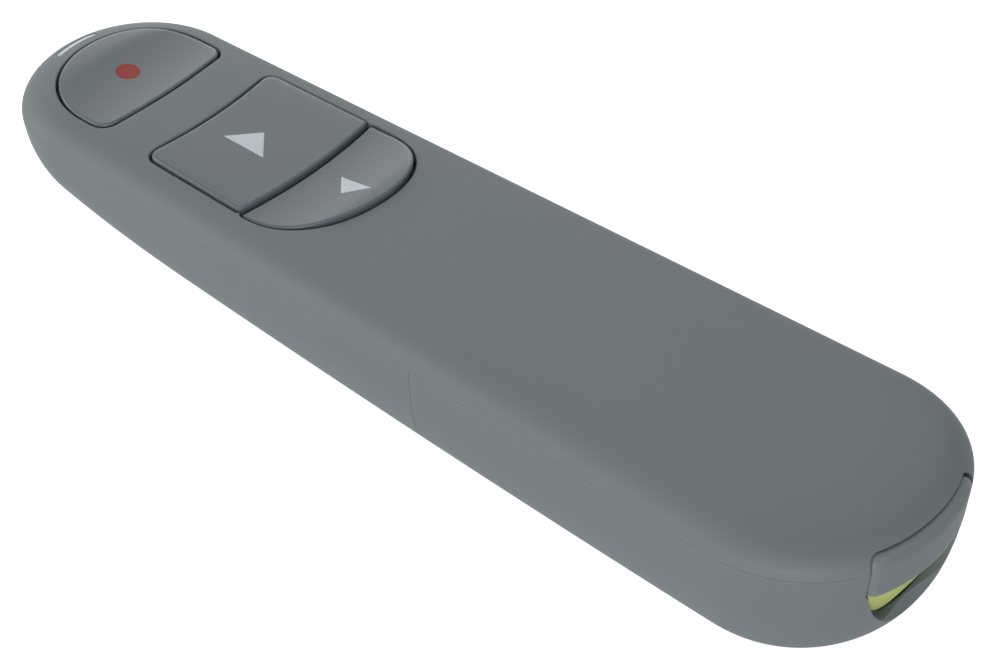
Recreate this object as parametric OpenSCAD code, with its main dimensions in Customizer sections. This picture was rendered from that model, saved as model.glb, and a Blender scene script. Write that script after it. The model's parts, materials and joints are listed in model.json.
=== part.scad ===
// Wireless presentation clicker: a two-part moulded handset with three press
// buttons over a laser module, a sliding battery door and a stored USB receiver.
// Millimetres. +Y points to the laser end, +Z out of the buttons, and the
// origin lies on the resting plane under the middle of the handset.

/* [Handset] */
// Overall length, tail tip to nose tip
body_len = 133; // [127:0.5:140]
// Width where the tail starts to round off
tail_w = 37.5; // [36.4:0.1:40]
// Width where the nose starts to round off
head_w = 29.8; // [29:0.1:32]
// Height of the top shell's crest above the resting plane
body_h = 16.6; // [16.3:0.1:19]
// Height of the top shell, parting line to crest
top_shell_h = 3.6; // [3.3:0.1:3.8]
// Length of the tail rounding along Y
tail_round = 17.8; // [15.6:0.1:19.4]
// Length of the nose rounding along Y
head_round = 13.1; // [12.5:0.1:15]
// Width of the rounded shoulder, seen from above
shoulder_w = 5.5; // [4.8:0.1:5.8]
// How far the crest falls before it meets the shoulder
crown_drop = 0.4; // [0.2:0.1:0.6]
// Inward draft of the lower side walls
draft = 1.1; // [0.7:0.1:1.4]
// Inward rounding where the side walls meet the underside
foot_round = 2.5; // [1.8:0.1:2.9]
// Height of the side wall left at the nose tip
nose_wall_h = 3.6; // [3:0.1:4]
// Distance from the nose tip to where the underside starts to rise
rise_len = 86.4; // [80:0.5:92]
// Wall of the lower shell and the battery door
wall = 1.6; // [1.3:0.1:1.8]
// Wall of the top shell over the crest
top_wall = 1.7; // [1.5:0.1:1.9]

/* [Buttons] */
// Gap around each button
button_gap = 0.35; // [0.25:0.05:0.45]
// How far the laser and next buttons stand out of the shell
button_proud = 0.1; // [0.05:0.05:0.2]
// How far the raised rim of the previous button stands out of the shell
previous_proud = 0.6; // [0.4:0.05:0.7]
// Travel of a button
button_travel = 0.5; // [0.35:0.05:0.6]
// Sag of the bowed cross edges
bow_sag = 0.9; // [0.4:0.1:1.2]
// Sag of the laser button's straight edge
laser_bow = 0.5; // [0.3:0.1:0.9]
// Width of the laser button
laser_button_w = 21.1; // [20.4:0.1:21.6]
// Nose tip to the laser button's straight edge
laser_low_to_nose = 18.7; // [18.3:0.1:19.2]
// Length of the laser button's straight sides
laser_button_side = 4; // [3.4:0.1:4.6]
// Length of the laser button's rounded tip
laser_button_tip = 9.6; // [9.2:0.1:9.8]
// Radius of the laser button's corners
laser_button_corner = 2; // [1:0.1:2.6]
// Width of the next button's front edge
next_button_w = 22; // [21.4:0.1:22.6]
// Width of the next button's low edge
next_low_w = 22.9; // [22.2:0.1:23]
// Nose tip to the next button's front edge
next_top_to_nose = 25.8; // [25.4:0.1:26.4]
// Length of the next button
next_button_len = 15.7; // [15:0.1:16.4]
// Radius of the next button's front corners
next_button_corner = 1.3; // [0.8:0.1:1.8]
// Width of the previous button
previous_button_w = 23.2; // [22.4:0.1:23.6]
// Length of the previous button
previous_button_len = 10.8; // [10.2:0.1:11.2]
// Radius of the laser mark
laser_mark_r = 1.55; // [1:0.05:2]
// Length of the next arrow's base
next_arrow_base = 6.5; // [5:0.1:7]
// Height of the next arrow
next_arrow_h = 3.8; // [3:0.1:4.5]
// Length of the previous arrow's base
previous_arrow_base = 4.3; // [3.6:0.1:4.8]
// Height of the previous arrow
previous_arrow_h = 2.5; // [2:0.1:3]

/* [Laser] */
// Radius of the laser barrel
barrel_r = 2.0; // [1.8:0.05:2.1]
// Length of the laser barrel
barrel_len = 7.4; // [7:0.1:7.8]
// Radius of the laser window
window_r = 1.2; // [0.9:0.05:1.25]
// Width of the status light in the nose shoulder
light_w = 6.2; // [5:0.1:7]

/* [Power switch] */
// Travel of the power slider
slider_travel = 3; // [2.5:0.1:3.5]
// Length of the power slider's grip
slider_len = 4; // [3.5:0.1:4.5]
// Nose tip to the middle of the power switch
slider_to_nose = 28; // [26:0.5:30]

/* [Battery bay] */
// Tail tip to the door seam
door_len = 61; // [60:0.5:63]
// Radius of an AAA cell
cell_r = 5.25; // [5.15:0.05:5.3]
// Length of an AAA cell with its contact
cell_len = 44.5; // [44:0.1:44.7]
// Space between the two cells
cell_gap = 0.7; // [0.6:0.1:0.9]
// Length of a pressed contact spring
spring_len = 3.2; // [2.8:0.1:3.4]

/* [Receiver] */
// Width of the receiver cap
cap_w = 18.8; // [18.2:0.1:19.2]
// Height of the receiver cap
cap_h = 6; // [5.6:0.1:6.3]
// Distance from the receiver cap's top to the shell's crest
cap_below_crest = 1.9; // [1.8:0.1:2.1]
// Thickness of the receiver cap at its middle
cap_t = 3.6; // [3.4:0.1:3.8]
// Half width of the receiver body
receiver_r = 7.7; // [7.3:0.1:7.8]
// Depth of the receiver body's rounded lower half
receiver_drop = 8; // [7.6:0.1:8.2]
// Length of the receiver body behind its cap
receiver_len = 4; // [3.7:0.1:4.3]
// Width of the USB plug
plug_w = 12; // [11.9:0.05:12.1]
// Height of the USB plug
plug_h = 4.5; // [4.4:0.05:4.6]
// Length of the USB plug
plug_len = 11.8; // [11.5:0.1:12]
// Gap around the receiver where it passes the shells
receiver_gap = 0.3; // [0.25:0.05:0.35]

/* [Hidden] */
$fn = 48;

// Clearances
fit = 0.02;
seat = 0.05;
slip = 0.1;
seam_gap = 0.12;
clear = 0.3;

// Overlap of cuts and joins, and a length beyond the whole part
over = 1;
far = 200;

// Steps of the moulded skins
end_steps = 14;
side_steps = 11;
foot_steps = [0, 0.05, 0.16, 0.34, 0.56, 0.8, 1];
shoulder_angles = [13, 26, 38, 50, 62, 75];
crown_steps = [0.8, 0.55, 0.3];

// Shape of the handset's outline
tail_pow = 2.1;
head_pow = 2.03;
rise_pow = 3.0;
crown_pow = 2.4;
foot_part = 0.77;
shoulder_in = 3.0;
foot_in = 1.6;
least_side = 0.2;
side_pow = 0.7;
tail_y = -body_len / 2;
head_y = body_len / 2;
tail_mid = tail_y + tail_round;
head_mid = head_y - head_round;
parting_h = body_h - top_shell_h;
nose_rise = parting_h - nose_wall_h;
shoulder_top = body_h - crown_drop;
shoulder_end = shoulder_angles[len(shoulder_angles) - 1];
ceiling = shoulder_top - top_wall;

// Receiver and battery bay along Y
cap_back = tail_y + cap_t;
receiver_back = cap_back + receiver_len;
plug_tip = receiver_back + plug_len;
behind_gap = 0.2;
socket_wall = 1.2;
socket_gap = 0.2;
socket_mouth = receiver_back + socket_gap;
socket_end = plug_tip + socket_gap;
bay_wall = 1.0;
bay_rear = socket_end + bay_wall;
contact_t = 0.3;
bay_front = bay_rear + 2 * contact_t + cell_len + spring_len + 2 * seat;
seam_y = tail_y + door_len;

// Levels of the button stack, from the ceiling down to the board and its deck
flange_t = 0.8;
flange_out = 0.9;
flange_top = ceiling - clear - slip;
flange_low = flange_top - flange_t;
nib_len = 0.35;
nib_r = 1.2;
plunger_r = 1.1;
plunger_top = flange_low - nib_len - seat;
plunger_out = button_travel + seat;
plunger_in = 1.5;
switch_w = 4.2;
switch_h = 2.8;
switch_top = plunger_top - plunger_out;
board_t = 1.0;
board_top = switch_top - switch_h;
deck_t = 1.2;
deck_top = board_top - board_t;
deck_low = deck_top - deck_t;

// Buttons along Y, spread over the room between the battery bay and the nose
row_gap = 11.35;
row_len = next_top_to_nose + next_button_len + button_gap + previous_button_len;
row_stretch = (head_y - bay_front - row_gap) / row_len;
laser_low = head_y - row_stretch * laser_low_to_nose;
laser_mid = laser_low + row_stretch * laser_button_side;
laser_tip = row_stretch * laser_button_tip;
laser_pow = 2.1;
laser_mark_y = laser_mid + 2.7;
next_top = head_y - row_stretch * next_top_to_nose;
next_low = next_top - row_stretch * next_button_len;
next_arrow_y = (next_top + next_low) / 2 + 0.4;
next_arrow_tip = 1.6;
previous_top = next_low - button_gap;
previous_len = row_stretch * previous_button_len;
previous_low = previous_top - previous_len;
previous_arrow_y = (previous_top + previous_low) / 2 - 0.3;
previous_arrow_tip = -1.1;
previous_pow = 2.15;
laser_switch_y = laser_low + 1.8;
next_switch_y = (next_top + next_low) / 2;
previous_switch_y = (previous_top + previous_low) / 2;

// Tops of the buttons: the next button is level, the outer two are hollowed
next_level = body_h - 0.1;
laser_hollow_y = laser_mid + 1.2;
laser_hollow_low = body_h - 0.35;
laser_hollow_r = 40;
previous_hollow_y = previous_top - 1.1;
previous_hollow_low = shoulder_top - 0.15;
previous_hollow_r = 20;
hollow_facets = 360;
mark_depth = 0.3;
laser_mark_low = laser_hollow_low - mark_depth;
next_mark_low = next_level - mark_depth;
previous_mark_low = previous_hollow_low - mark_depth;

// Laser module
laser_z = parting_h;
barrel_wall = 0.4;
barrel_back = laser_low + 5.6;
barrel_front = barrel_back + barrel_len;
diode_len = 2.2;
diode_out = 1.2;
lens_t = 1.0;
lens_inset = 0.3;
saddle_w = 6;
saddle_back = barrel_back + 1.2;
saddle_front = barrel_front - 1;
saddle_top = laser_z - 0.6;
channel_side = 0.7;
channel_w = 2 * (barrel_r + channel_side);
channel_top = laser_z + barrel_r + button_travel + slip + seat;
channel_back = barrel_back - diode_out - 0.5;
window_back = head_y - 1.9;
window_front = head_y - 0.2;
lead_r = 0.2;
lead_x = 0.8;
lead_y = barrel_back - diode_out - 0.25;
lead_z = laser_z - 0.4;

// Status light and its guide
light_inset = 2.0;
light_band = 0.8;
light_steps = 4;
guide_low = parting_h + 1.45;
guide_shelf = 0.55;
guide_seat_low = parting_h + 0.9;
guide_back = head_y - 3.9;
guide_t = 1.2;
guide_x = saddle_w / 2 + 0.4;
guide_end_x = guide_x + guide_t;
guide_front = guide_back + 0.7;
guide_arm_low = parting_h - slip;
guide_arm_h = 0.6;
guide_bar_low = deck_top + 2.9;
guide_bar_h = 1.0;
guide_foot_y = laser_switch_y - 0.6;
led_len = 1.2;
led_h = 0.9;

// Board and deck
board_w = 20.6;
board_back = previous_low - 0.2;
board_front = laser_low + 4.7;
deck_front = board_front - 1.5;
board_screw_y = (laser_low + next_top) / 2 + 0.5;
board_screw_x = 8;
board_screw_r = 0.8;
board_screw_len = 3.2;
board_boss_r = 1.9;
board_boss_len = 1.4;
rest_w = 12;
rest_back = deck_front - 5;
rest_len = 1.4;

// Parts on the board
chip_w = 5;
chip_h = 0.9;
chip_x = -8.5;
chip_y = next_switch_y - 8 * row_stretch;
can_w = 3.2;
can_len = 2.5;
can_h = 0.8;
can_x = 3.4;
can_y = next_switch_y - 6.6 * row_stretch;
small_part = [1.0, 0.5, 0.5];
small_x = 4.4;
small_pitch = 1.9;
small_rows = [previous_switch_y, previous_switch_y + 4 * row_stretch, next_switch_y];

// Power switch
slider_y = head_y - row_stretch * slider_to_nose;
slider_z = board_top + 1.35;
slider_h = 2.2;
slider_out = 0.5;
slider_plate_t = 0.7;
slider_plate_lap = 2;
slider_plate_low = 0.5;
slider_plate_high = 0.3;
slider_arm_w = 1.2;
slider_arm_h = 0.8;
slider_rest = slider_y - slider_travel / 2;
switch_body_w = 4;
switch_body_len = 7.5;
switch_body_h = 2.6;
switch_lever_in = 1.6;

// Receiver
cap_top = body_h - cap_below_crest;
cap_low = cap_top - cap_h;
cap_corner = 1.5;
receiver_mid_z = cap_low + 1.9;
receiver_top = ceiling - 0.5;
plug_z = receiver_mid_z - 0.9;
receiver_pow = 3;
scoop_slope = 1.08;
scoop_len = 4;
scoop_edge = cap_back - slip;
plug_shell_t = 0.35;
plug_hole_w = 2.2;
plug_hole_x = 2.9;
plug_hole_y = receiver_back + 5.5;
tongue_h = 1.9;
tongue_inset = 0.4;
tongue_top = plug_z + plug_h / 2 - plug_shell_t - seat;
tongue_low = tongue_top - tongue_h;
plug_contact_pitch = 2.4;
plug_contact_w = 1.0;
plug_contact_t = 0.15;
plug_contact_back = receiver_back + 3;
plug_contact_front = plug_tip - 1;

// Battery bay under its roof
tray_roof_t = 1.0;
tray_gap = 0.25;
roof_top = ceiling - clear;
roof_low = roof_top - tray_roof_t;
cell_x = cell_r + cell_gap / 2;
cell_z = roof_low - tray_gap - cell_r;
tray_wall = 1.0;
tray_in = cell_x + cell_r + slip + seat;
tray_out = tray_in + tray_wall;
tray_low = cell_z - cell_r + 0.8;
divider_t = 0.4;
divider_low = cell_z + 1.5;
nub_r = 1.9;
nub_len = 1.0;
left_cell_y = bay_rear + contact_t + seat;
right_cell_y = bay_front - contact_t - seat - cell_len;
contact_w = 6.4;
contact_h = 7;
contact_top = max(cell_z + contact_h / 2, board_top);
tab_w = 1.2;
tab_len = 2.2;
spring_wire = 0.3;
spring_turns = 3.5;
spring_tip_r = 1.6;
spring_foot_r = 2.9;
wire_sides = 6;
turn_steps = 12;
lead_wire_r = 0.4;
lead_wire_from = bay_front + tab_len - 1.2;
lead_wire_to = board_back + 1.6;

// Housing screws
screw_r = 1.0;
screw_head_r = 1.7;
screw_head_h = 1.2;
boss_r = 2.0;
post_r = 2.5;
boss_top = ceiling + 0.7;
front_screw_x = 9.4;
front_screw_y = bay_front + 6.4;
rear_screw_x = tray_out + 0.4;
rear_screw_y = socket_mouth + 6.5;
ear_low = deck_low + 2.6;
ear_t = 1.2;
screw_bite = 4.5;
screw_spare = 0.5;
pocket_top = deck_low - 2.4;

// Battery door
tongue_w = 4.4;
tongue_out = 2.7;
tongue_t = 0.7;
tongue_root = 2.5;
tongue_lap = 0.1;
grip_count = 4;
grip_pitch = 1.8;
grip_w = 14;
grip_len = 1;
grip_depth = 0.3;
grip_from_seam = 6;

// Colours
shell_grey = [0.44, 0.48, 0.49];
button_grey = [0.40, 0.44, 0.45];
frame_black = [0.13, 0.14, 0.14];
pale_blue = [0.72, 0.78, 0.82];
lime = [0.72, 0.78, 0.28];
steel = [0.72, 0.73, 0.75];
brass = [0.78, 0.62, 0.32];
gold = [0.85, 0.68, 0.30];

function lerp(a, b, t) = a + (b - a) * t;
function clamp(v, low, high) = min(max(v, low), high);

// Half width of the sides, tapering evenly from the tail to the nose
function half_w(y) = lerp(tail_w, head_w, (y - tail_mid) / (head_mid - tail_mid)) / 2;

// Height of the underside, flat at first and rising as a power towards the nose
function underside(y) = nose_rise * pow(max(0, y - head_y + rise_len) / rise_len, rise_pow);

// A point on a rounded end, moved inwards by inset; t = 90 at the tip
function round_point(mid, length, p, t, inset) =
    let (y = mid + (length - sign(length) * inset) * pow(sin(t), 2 / p))
    [(half_w(y) - inset) * pow(cos(t), 2 / p), y];

// Right-hand edge from the tail tip to the nose tip, moved inwards
function right_edge(inset) = concat(
    [for (i = [0 : end_steps])
        round_point(tail_mid, -tail_round, tail_pow, 90 - 90 * i / end_steps, inset)],
    [for (i = [1 : side_steps - 1])
        let (y = lerp(tail_mid, head_mid, pow(i / side_steps, side_pow))) [half_w(y) - inset, y]],
    [for (i = [0 : end_steps])
        round_point(head_mid, head_round, head_pow, 90 * i / end_steps, inset)]
);
edge_count = 2 * end_steps + side_steps + 1;
count = 2 * edge_count - 2;

// The whole outline moved inwards, anticlockwise from the tail tip
function inner_line(inset) =
    let (edge = right_edge(inset))
    concat(edge, [for (i = [edge_count - 2 : -1 : 1]) [-edge[i].x, edge[i].y]]);

// A ring of the lower skin: s runs from 0 at the underside to 1 at the parting line
function foot_inset(s, rounding) =
    draft * (1 - s) + rounding * (1 - sqrt(1 - pow(max(0, 1 - s / foot_part), 2)));
function foot_ring(s, rounding, inset, lift) = [
    for (p = inner_line(foot_inset(s, rounding) + inset))
        [p.x, p.y, lerp(min(underside(p.y) + lift, parting_h - least_side), parting_h, s)]
];

// A ring of the shoulder at angle t, and one of the crown at share f of its width
function shoulder_ring(t, width, inset, top) = [
    for (p = inner_line(inset + width * (1 - cos(t))))
        [p.x, p.y, lerp(parting_h, top, sin(t) / sin(shoulder_end))]
];
function crown_ring(f, width, inset, top) = [
    for (p = inner_line(inset + width * (1 - cos(shoulder_end))))
        let (mid = clamp(p.y, tail_mid, head_mid))
        [f * p.x, lerp(mid, p.y, f), top + crown_drop * (1 - pow(f, crown_pow))]
];
function dome_rings(width, inset, top) = concat(
    [for (t = shoulder_angles) shoulder_ring(t, width, inset, top)],
    [for (f = crown_steps) crown_ring(f, width, inset, top)]
);
function foot_rings(rounding, inset, lift) =
    [for (s = foot_steps) foot_ring(s, rounding, inset, lift)];
function reversed(list) = [for (i = [len(list) - 1 : -1 : 0]) list[i]];
function joined(lists) = [for (list = lists) each list];

// Closed skin through a stack of rings, with a strip of level faces at each end
function end_strip(base, up) = [
    for (i = [0 : count / 2 - 1])
        let (a = i, b = i + 1, c = count - i - 1, d = (count - i) % count)
        for (f = concat(a == d ? [] : [[a, b, d]], b == c ? [] : [[b, c, d]]))
            up ? [base + f[2], base + f[1], base + f[0]] : [base + f[0], base + f[1], base + f[2]]
];
module skin(rings) {
    last = (len(rings) - 1) * count;
    sides = [
        for (j = [0 : len(rings) - 2])
            for (i = [0 : count - 1])
                let (a = j * count + i, b = j * count + (i + 1) % count)
                for (f = [[a, a + count, b + count], [a, b + count, b]]) f
    ];
    polyhedron(joined(rings), concat(end_strip(0, false), sides, end_strip(last, true)));
}

// Solid envelope of the handset, moved up by lift
module envelope(lift) {
    translate([0, 0, lift])
    skin(concat(foot_rings(foot_round, 0, 0), dome_rings(shoulder_w, 0, shoulder_top)));
}

// Top of the envelope alone, from the parting line up
module dome(lift) {
    translate([0, 0, lift])
    skin(concat(
        [shoulder_ring(0, shoulder_w, 0, shoulder_top)],
        dome_rings(shoulder_w, 0, shoulder_top)
    ));
}

module top_skin() {
    skin(concat(
        reversed(dome_rings(shoulder_in, wall, ceiling)),
        [shoulder_ring(0, shoulder_in, wall, ceiling)],
        [shoulder_ring(0, shoulder_w, 0, shoulder_top)],
        dome_rings(shoulder_w, 0, shoulder_top)
    ));
}

module lower_skin() {
    skin(concat(
        foot_rings(foot_round, 0, 0),
        reversed(foot_rings(foot_in, wall, wall))
    ));
}

// Box from two corners
module block(low, high) {
    translate(low) cube(high - low);
}

// Round bar along Y
module y_bar(x, y, z, r, length) {
    translate([x, y, z])
    rotate([-90, 0, 0]) cylinder(r = r, h = length);
}

// Straight edge bowed towards the tail
function bowed(x_from, x_to, y, reach, sag) = [
    for (i = [0 : 8])
        let (x = lerp(x_from, x_to, i / 8)) [x, y - sag * (1 - pow(x / reach, 2))]
];

// Quarter turn of radius r about [x, y]
function quarter(x, y, r, from) =
    [for (t = [from : 15 : from + 90]) [x + r * cos(t), y + r * sin(t)]];

// Button outlines, grown by g; each runs anticlockwise
function laser_line(g) =
    let (a = laser_button_w / 2 + g, c = laser_button_corner, x = a - c, y = laser_low - g)
    concat(
        [for (t = [0 : 9 : 180])
            [a * sign(cos(t)) * pow(abs(cos(t)), 2 / laser_pow),
             laser_mid + (laser_tip + g) * pow(abs(sin(t)), 2 / laser_pow)]],
        quarter(-x, y + c, c, 180),
        bowed(-x, x, y, x, laser_bow),
        quarter(x, y + c, c, 270)
    );
function next_line(g) =
    let (a = next_low_w / 2 + g, c = next_button_corner, x = next_button_w / 2 + g - c)
    concat(
        quarter(x, next_top + g - c, c, 0),
        bowed(x, -x, next_top + g, x, bow_sag),
        quarter(-x, next_top + g - c, c, 90),
        bowed(-a, a, next_low - g, a, bow_sag)
    );
function previous_line(g) =
    let (a = previous_button_w / 2 + g, b = previous_len + g)
    concat(
        bowed(a, -a, previous_top + g, a, bow_sag),
        [for (t = [6 : 6 : 174])
            [-a * sign(cos(t)) * pow(abs(cos(t)), 2 / previous_pow),
             previous_top - b * pow(sin(t), 2 / previous_pow)]]
    );

// Upright prism through an outline
module prism(points, low, high) {
    translate([0, 0, low]) linear_extrude(high - low) polygon(points);
}

next_arrow_points = [
    [next_arrow_tip - next_arrow_h, next_arrow_y - next_arrow_base / 2],
    [next_arrow_tip, next_arrow_y],
    [next_arrow_tip - next_arrow_h, next_arrow_y + next_arrow_base / 2]
];
previous_arrow_points = [
    [previous_arrow_tip + previous_arrow_h, previous_arrow_y - previous_arrow_base / 2],
    [previous_arrow_tip + previous_arrow_h, previous_arrow_y + previous_arrow_base / 2],
    [previous_arrow_tip, previous_arrow_y]
];

// Button cap standing out of the dome by proud, cut level at top
module button_cap(points, proud, top) {
    intersection() {
        prism(points, flange_low, top);
        dome(proud);
    }
}

// Shallow hollow across a button, with its lowest line at y and height low
module hollow(y, low, r) {
    translate([-far / 2, y, low + r])
    rotate([0, 90, 0]) cylinder(r = r, h = far, $fn = hollow_facets);
}
module laser_hollow() { hollow(laser_hollow_y, laser_hollow_low, laser_hollow_r); }
module previous_hollow() {
    hollow(previous_hollow_y, previous_hollow_low, previous_hollow_r);
}

// Retaining flange under the shell between two places along Y
module flange(points, y_from, y_to) {
    intersection() {
        prism(points, flange_low, flange_top);
        block([-far, y_from, 0], [far, y_to, far]);
    }
}
module nib(y) {
    translate([0, y, flange_low - nib_len]) cylinder(r = nib_r, h = nib_len + over / 2);
}

module laser_button() {
    color(button_grey)
    difference() {
        union() {
            button_cap(laser_line(0), button_proud, body_h + over);
            flange(laser_line(flange_out), laser_low - far, head_y);
            nib(laser_switch_y);
        }
        block([-channel_w / 2, channel_back, 0], [channel_w / 2, head_y, channel_top]);
        translate([0, laser_mark_y, laser_mark_low]) cylinder(r = laser_mark_r, h = far);
        laser_hollow();
    }
}

module next_button() {
    color(button_grey)
    difference() {
        union() {
            button_cap(next_line(0), button_proud, next_level);
            flange(next_line(flange_out), next_low + over, head_y);
            nib(next_switch_y);
        }
        prism(next_arrow_points, next_mark_low, far);
    }
}

module previous_button() {
    color(button_grey)
    difference() {
        union() {
            button_cap(previous_line(0), previous_proud, body_h + over);
            flange(previous_line(flange_out), tail_y, previous_top - bow_sag - over);
            nib(previous_switch_y);
        }
        prism(previous_arrow_points, previous_mark_low, far);
        previous_hollow();
    }
}

module laser_mark() {
    color("firebrick")
    difference() {
        translate([0, laser_mark_y, laser_mark_low])
        cylinder(r = laser_mark_r, h = button_proud + body_h - laser_mark_low);
        laser_hollow();
    }
}

module next_arrow() {
    color(pale_blue) prism(next_arrow_points, next_mark_low, next_level);
}

module previous_arrow() {
    color(pale_blue)
    difference() {
        intersection() {
            prism(previous_arrow_points, previous_mark_low, far);
            dome(previous_proud);
        }
        previous_hollow();
    }
}

// Crescent of the status light, grown by g
function nose_y(x, inset) =
    let (share = abs(x) / (half_w(head_mid) - inset))
    head_mid + (head_round - inset) * pow(1 - pow(share, head_pow), 1 / head_pow);
function light_edge(inset, g) = [
    for (i = [-light_steps : light_steps])
        let (x = i / light_steps * (light_w / 2 + g)) [x, nose_y(x, inset)]
];
function light_line(g) = concat(
    light_edge(light_inset - g, g),
    reversed(light_edge(light_inset + light_band + g, g))
);

// Rounded front outline of the receiver cap, grown by g, as a prism along Y
module cap_prism(g, y_from, y_to) {
    w = cap_w / 2 + g;
    c = cap_corner;
    translate([0, y_to, 0])
    rotate([90, 0, 0])
    linear_extrude(y_to - y_from)
    polygon(concat(
        quarter(w - c, cap_top + g - c, c, 0),
        quarter(-w + c, cap_top + g - c, c, 90),
        quarter(-w + c, cap_low - g + c, c, 180),
        quarter(w - c, cap_low - g + c, c, 270)
    ));
}

// Receiver body, grown by g, as a prism along Y: full and round below, flat on top
module receiver_prism(g, y_from, y_to) {
    translate([0, y_to, 0])
    rotate([90, 0, 0])
    linear_extrude(y_to - y_from)
    polygon(concat(
        [[receiver_r + g, receiver_top + g], [-receiver_r - g, receiver_top + g]],
        [for (t = [180 : 7.5 : 360])
            [(receiver_r + g) * sign(cos(t)) * pow(abs(cos(t)), 2 / receiver_pow),
             receiver_mid_z - (receiver_drop + g) * pow(abs(sin(t)), 2 / receiver_pow)]]
    ));
}

module screw_boss(x, y, low) {
    translate([x, y, low]) cylinder(r = boss_r, h = boss_top - low);
}

// Places of the housing screws: x, y, underside of the clamped part, its thickness
screw_places = [
    for (side = [-1, 1]) for (p = [
        [side * front_screw_x, front_screw_y, deck_top],
        [side * rear_screw_x, rear_screw_y, ear_low + ear_t]
    ]) p
];

module top_shell() {
    color(shell_grey)
    difference() {
        union() {
            top_skin();
            for (p = screw_places) screw_boss(p.x, p.y, p.z);
        }
        prism(laser_line(button_gap), parting_h, far);
        prism(next_line(button_gap), parting_h, far);
        prism(previous_line(button_gap), parting_h, far);
        prism(light_line(slip), guide_low, far);
        block(
            [-light_w / 2 - slip, guide_back - slip, guide_seat_low],
            [light_w / 2 + slip, head_y - wall + slip, guide_low + guide_shelf + slip]
        );
        y_bar(0, window_back - over, laser_z, window_r + seat, far);
        cap_prism(receiver_gap, tail_y - over, cap_back + behind_gap);
        for (p = screw_places)
            translate([p.x, p.y, p.z - fit]) cylinder(r = screw_r + fit, h = screw_bite);
    }
}

// Ledge on the sloping floor of the lower shell, between two places along Y
module floor_rib(w, y_from, y_to, top) {
    ys = [for (i = [0 : 6]) lerp(y_from, y_to, i / 6)];
    points = concat([for (y = ys) [y, underside(y) + wall / 2]], [[y_to, top], [y_from, top]]);
    rotate([90, 0, 90])
    translate([0, 0, -w / 2])
    linear_extrude(w)
    polygon(points);
}

module slider_slot() {
    reach = (slider_len + slider_travel) / 2 + slip;
    block(
        [half_w(slider_y) - draft - wall - over, slider_y - reach, slider_z - slider_h / 2 - slip],
        [tail_w, slider_y + reach, slider_z + slider_h / 2 + slip]
    );
}

module bottom_shell() {
    color(shell_grey)
    difference() {
        union() {
            intersection() {
                lower_skin();
                block([-far, seam_y, -over], [far, far, far]);
            }
            floor_rib(saddle_w, saddle_back, saddle_front, saddle_top);
            floor_rib(rest_w, rest_back, rest_back + rest_len, deck_low);
            for (side = [-1, 1])
                translate([side * front_screw_x, front_screw_y, wall / 2])
                cylinder(r = post_r, h = deck_low - wall / 2);
        }
        y_bar(0, barrel_back, laser_z, barrel_r + fit, barrel_len);
        y_bar(0, window_back - over, laser_z, window_r + seat, far);
        slider_slot();
        for (side = [-1, 1]) translate([side * front_screw_x, front_screw_y, -over]) {
            cylinder(r = screw_head_r + slip, h = over + pocket_top);
            cylinder(r = screw_r + slip, h = far);
        }
    }
}

module battery_door() {
    color(shell_grey)
    difference() {
        union() {
            intersection() {
                lower_skin();
                block([-far, -far, -over], [far, seam_y - seam_gap, far]);
            }
            block(
                [-tongue_w / 2, seam_y - tongue_root, wall - tongue_lap],
                [tongue_w / 2, seam_y, wall + tongue_t]
            );
            block(
                [-tongue_w / 2, seam_y - over, wall + tongue_lap],
                [tongue_w / 2, seam_y + tongue_out, wall + tongue_t]
            );
        }
        cap_prism(receiver_gap, tail_y - over, cap_back + behind_gap);
        receiver_prism(receiver_gap, tail_y - over, cap_back + receiver_gap);
        translate([0, scoop_edge, receiver_mid_z])
        rotate([90, 0, 0])
        cylinder(
            r1 = receiver_r + receiver_gap,
            r2 = receiver_r + receiver_gap + scoop_len * scoop_slope,
            h = scoop_len
        );
        for (i = [0 : grip_count - 1])
            let (y = seam_y - grip_from_seam - i * grip_pitch)
            block([-grip_w / 2, y - grip_len, -over], [grip_w / 2, y, grip_depth]);
    }
}

// Slot in the bay's front wall and the contact tab that passes through it
module contact_tab(side, g) {
    block(
        [side * cell_x - tab_w / 2 - g, bay_front - contact_t - g, board_top - contact_t - g],
        [side * cell_x + tab_w / 2 + g, bay_front + tab_len, board_top + g]
    );
}

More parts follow.
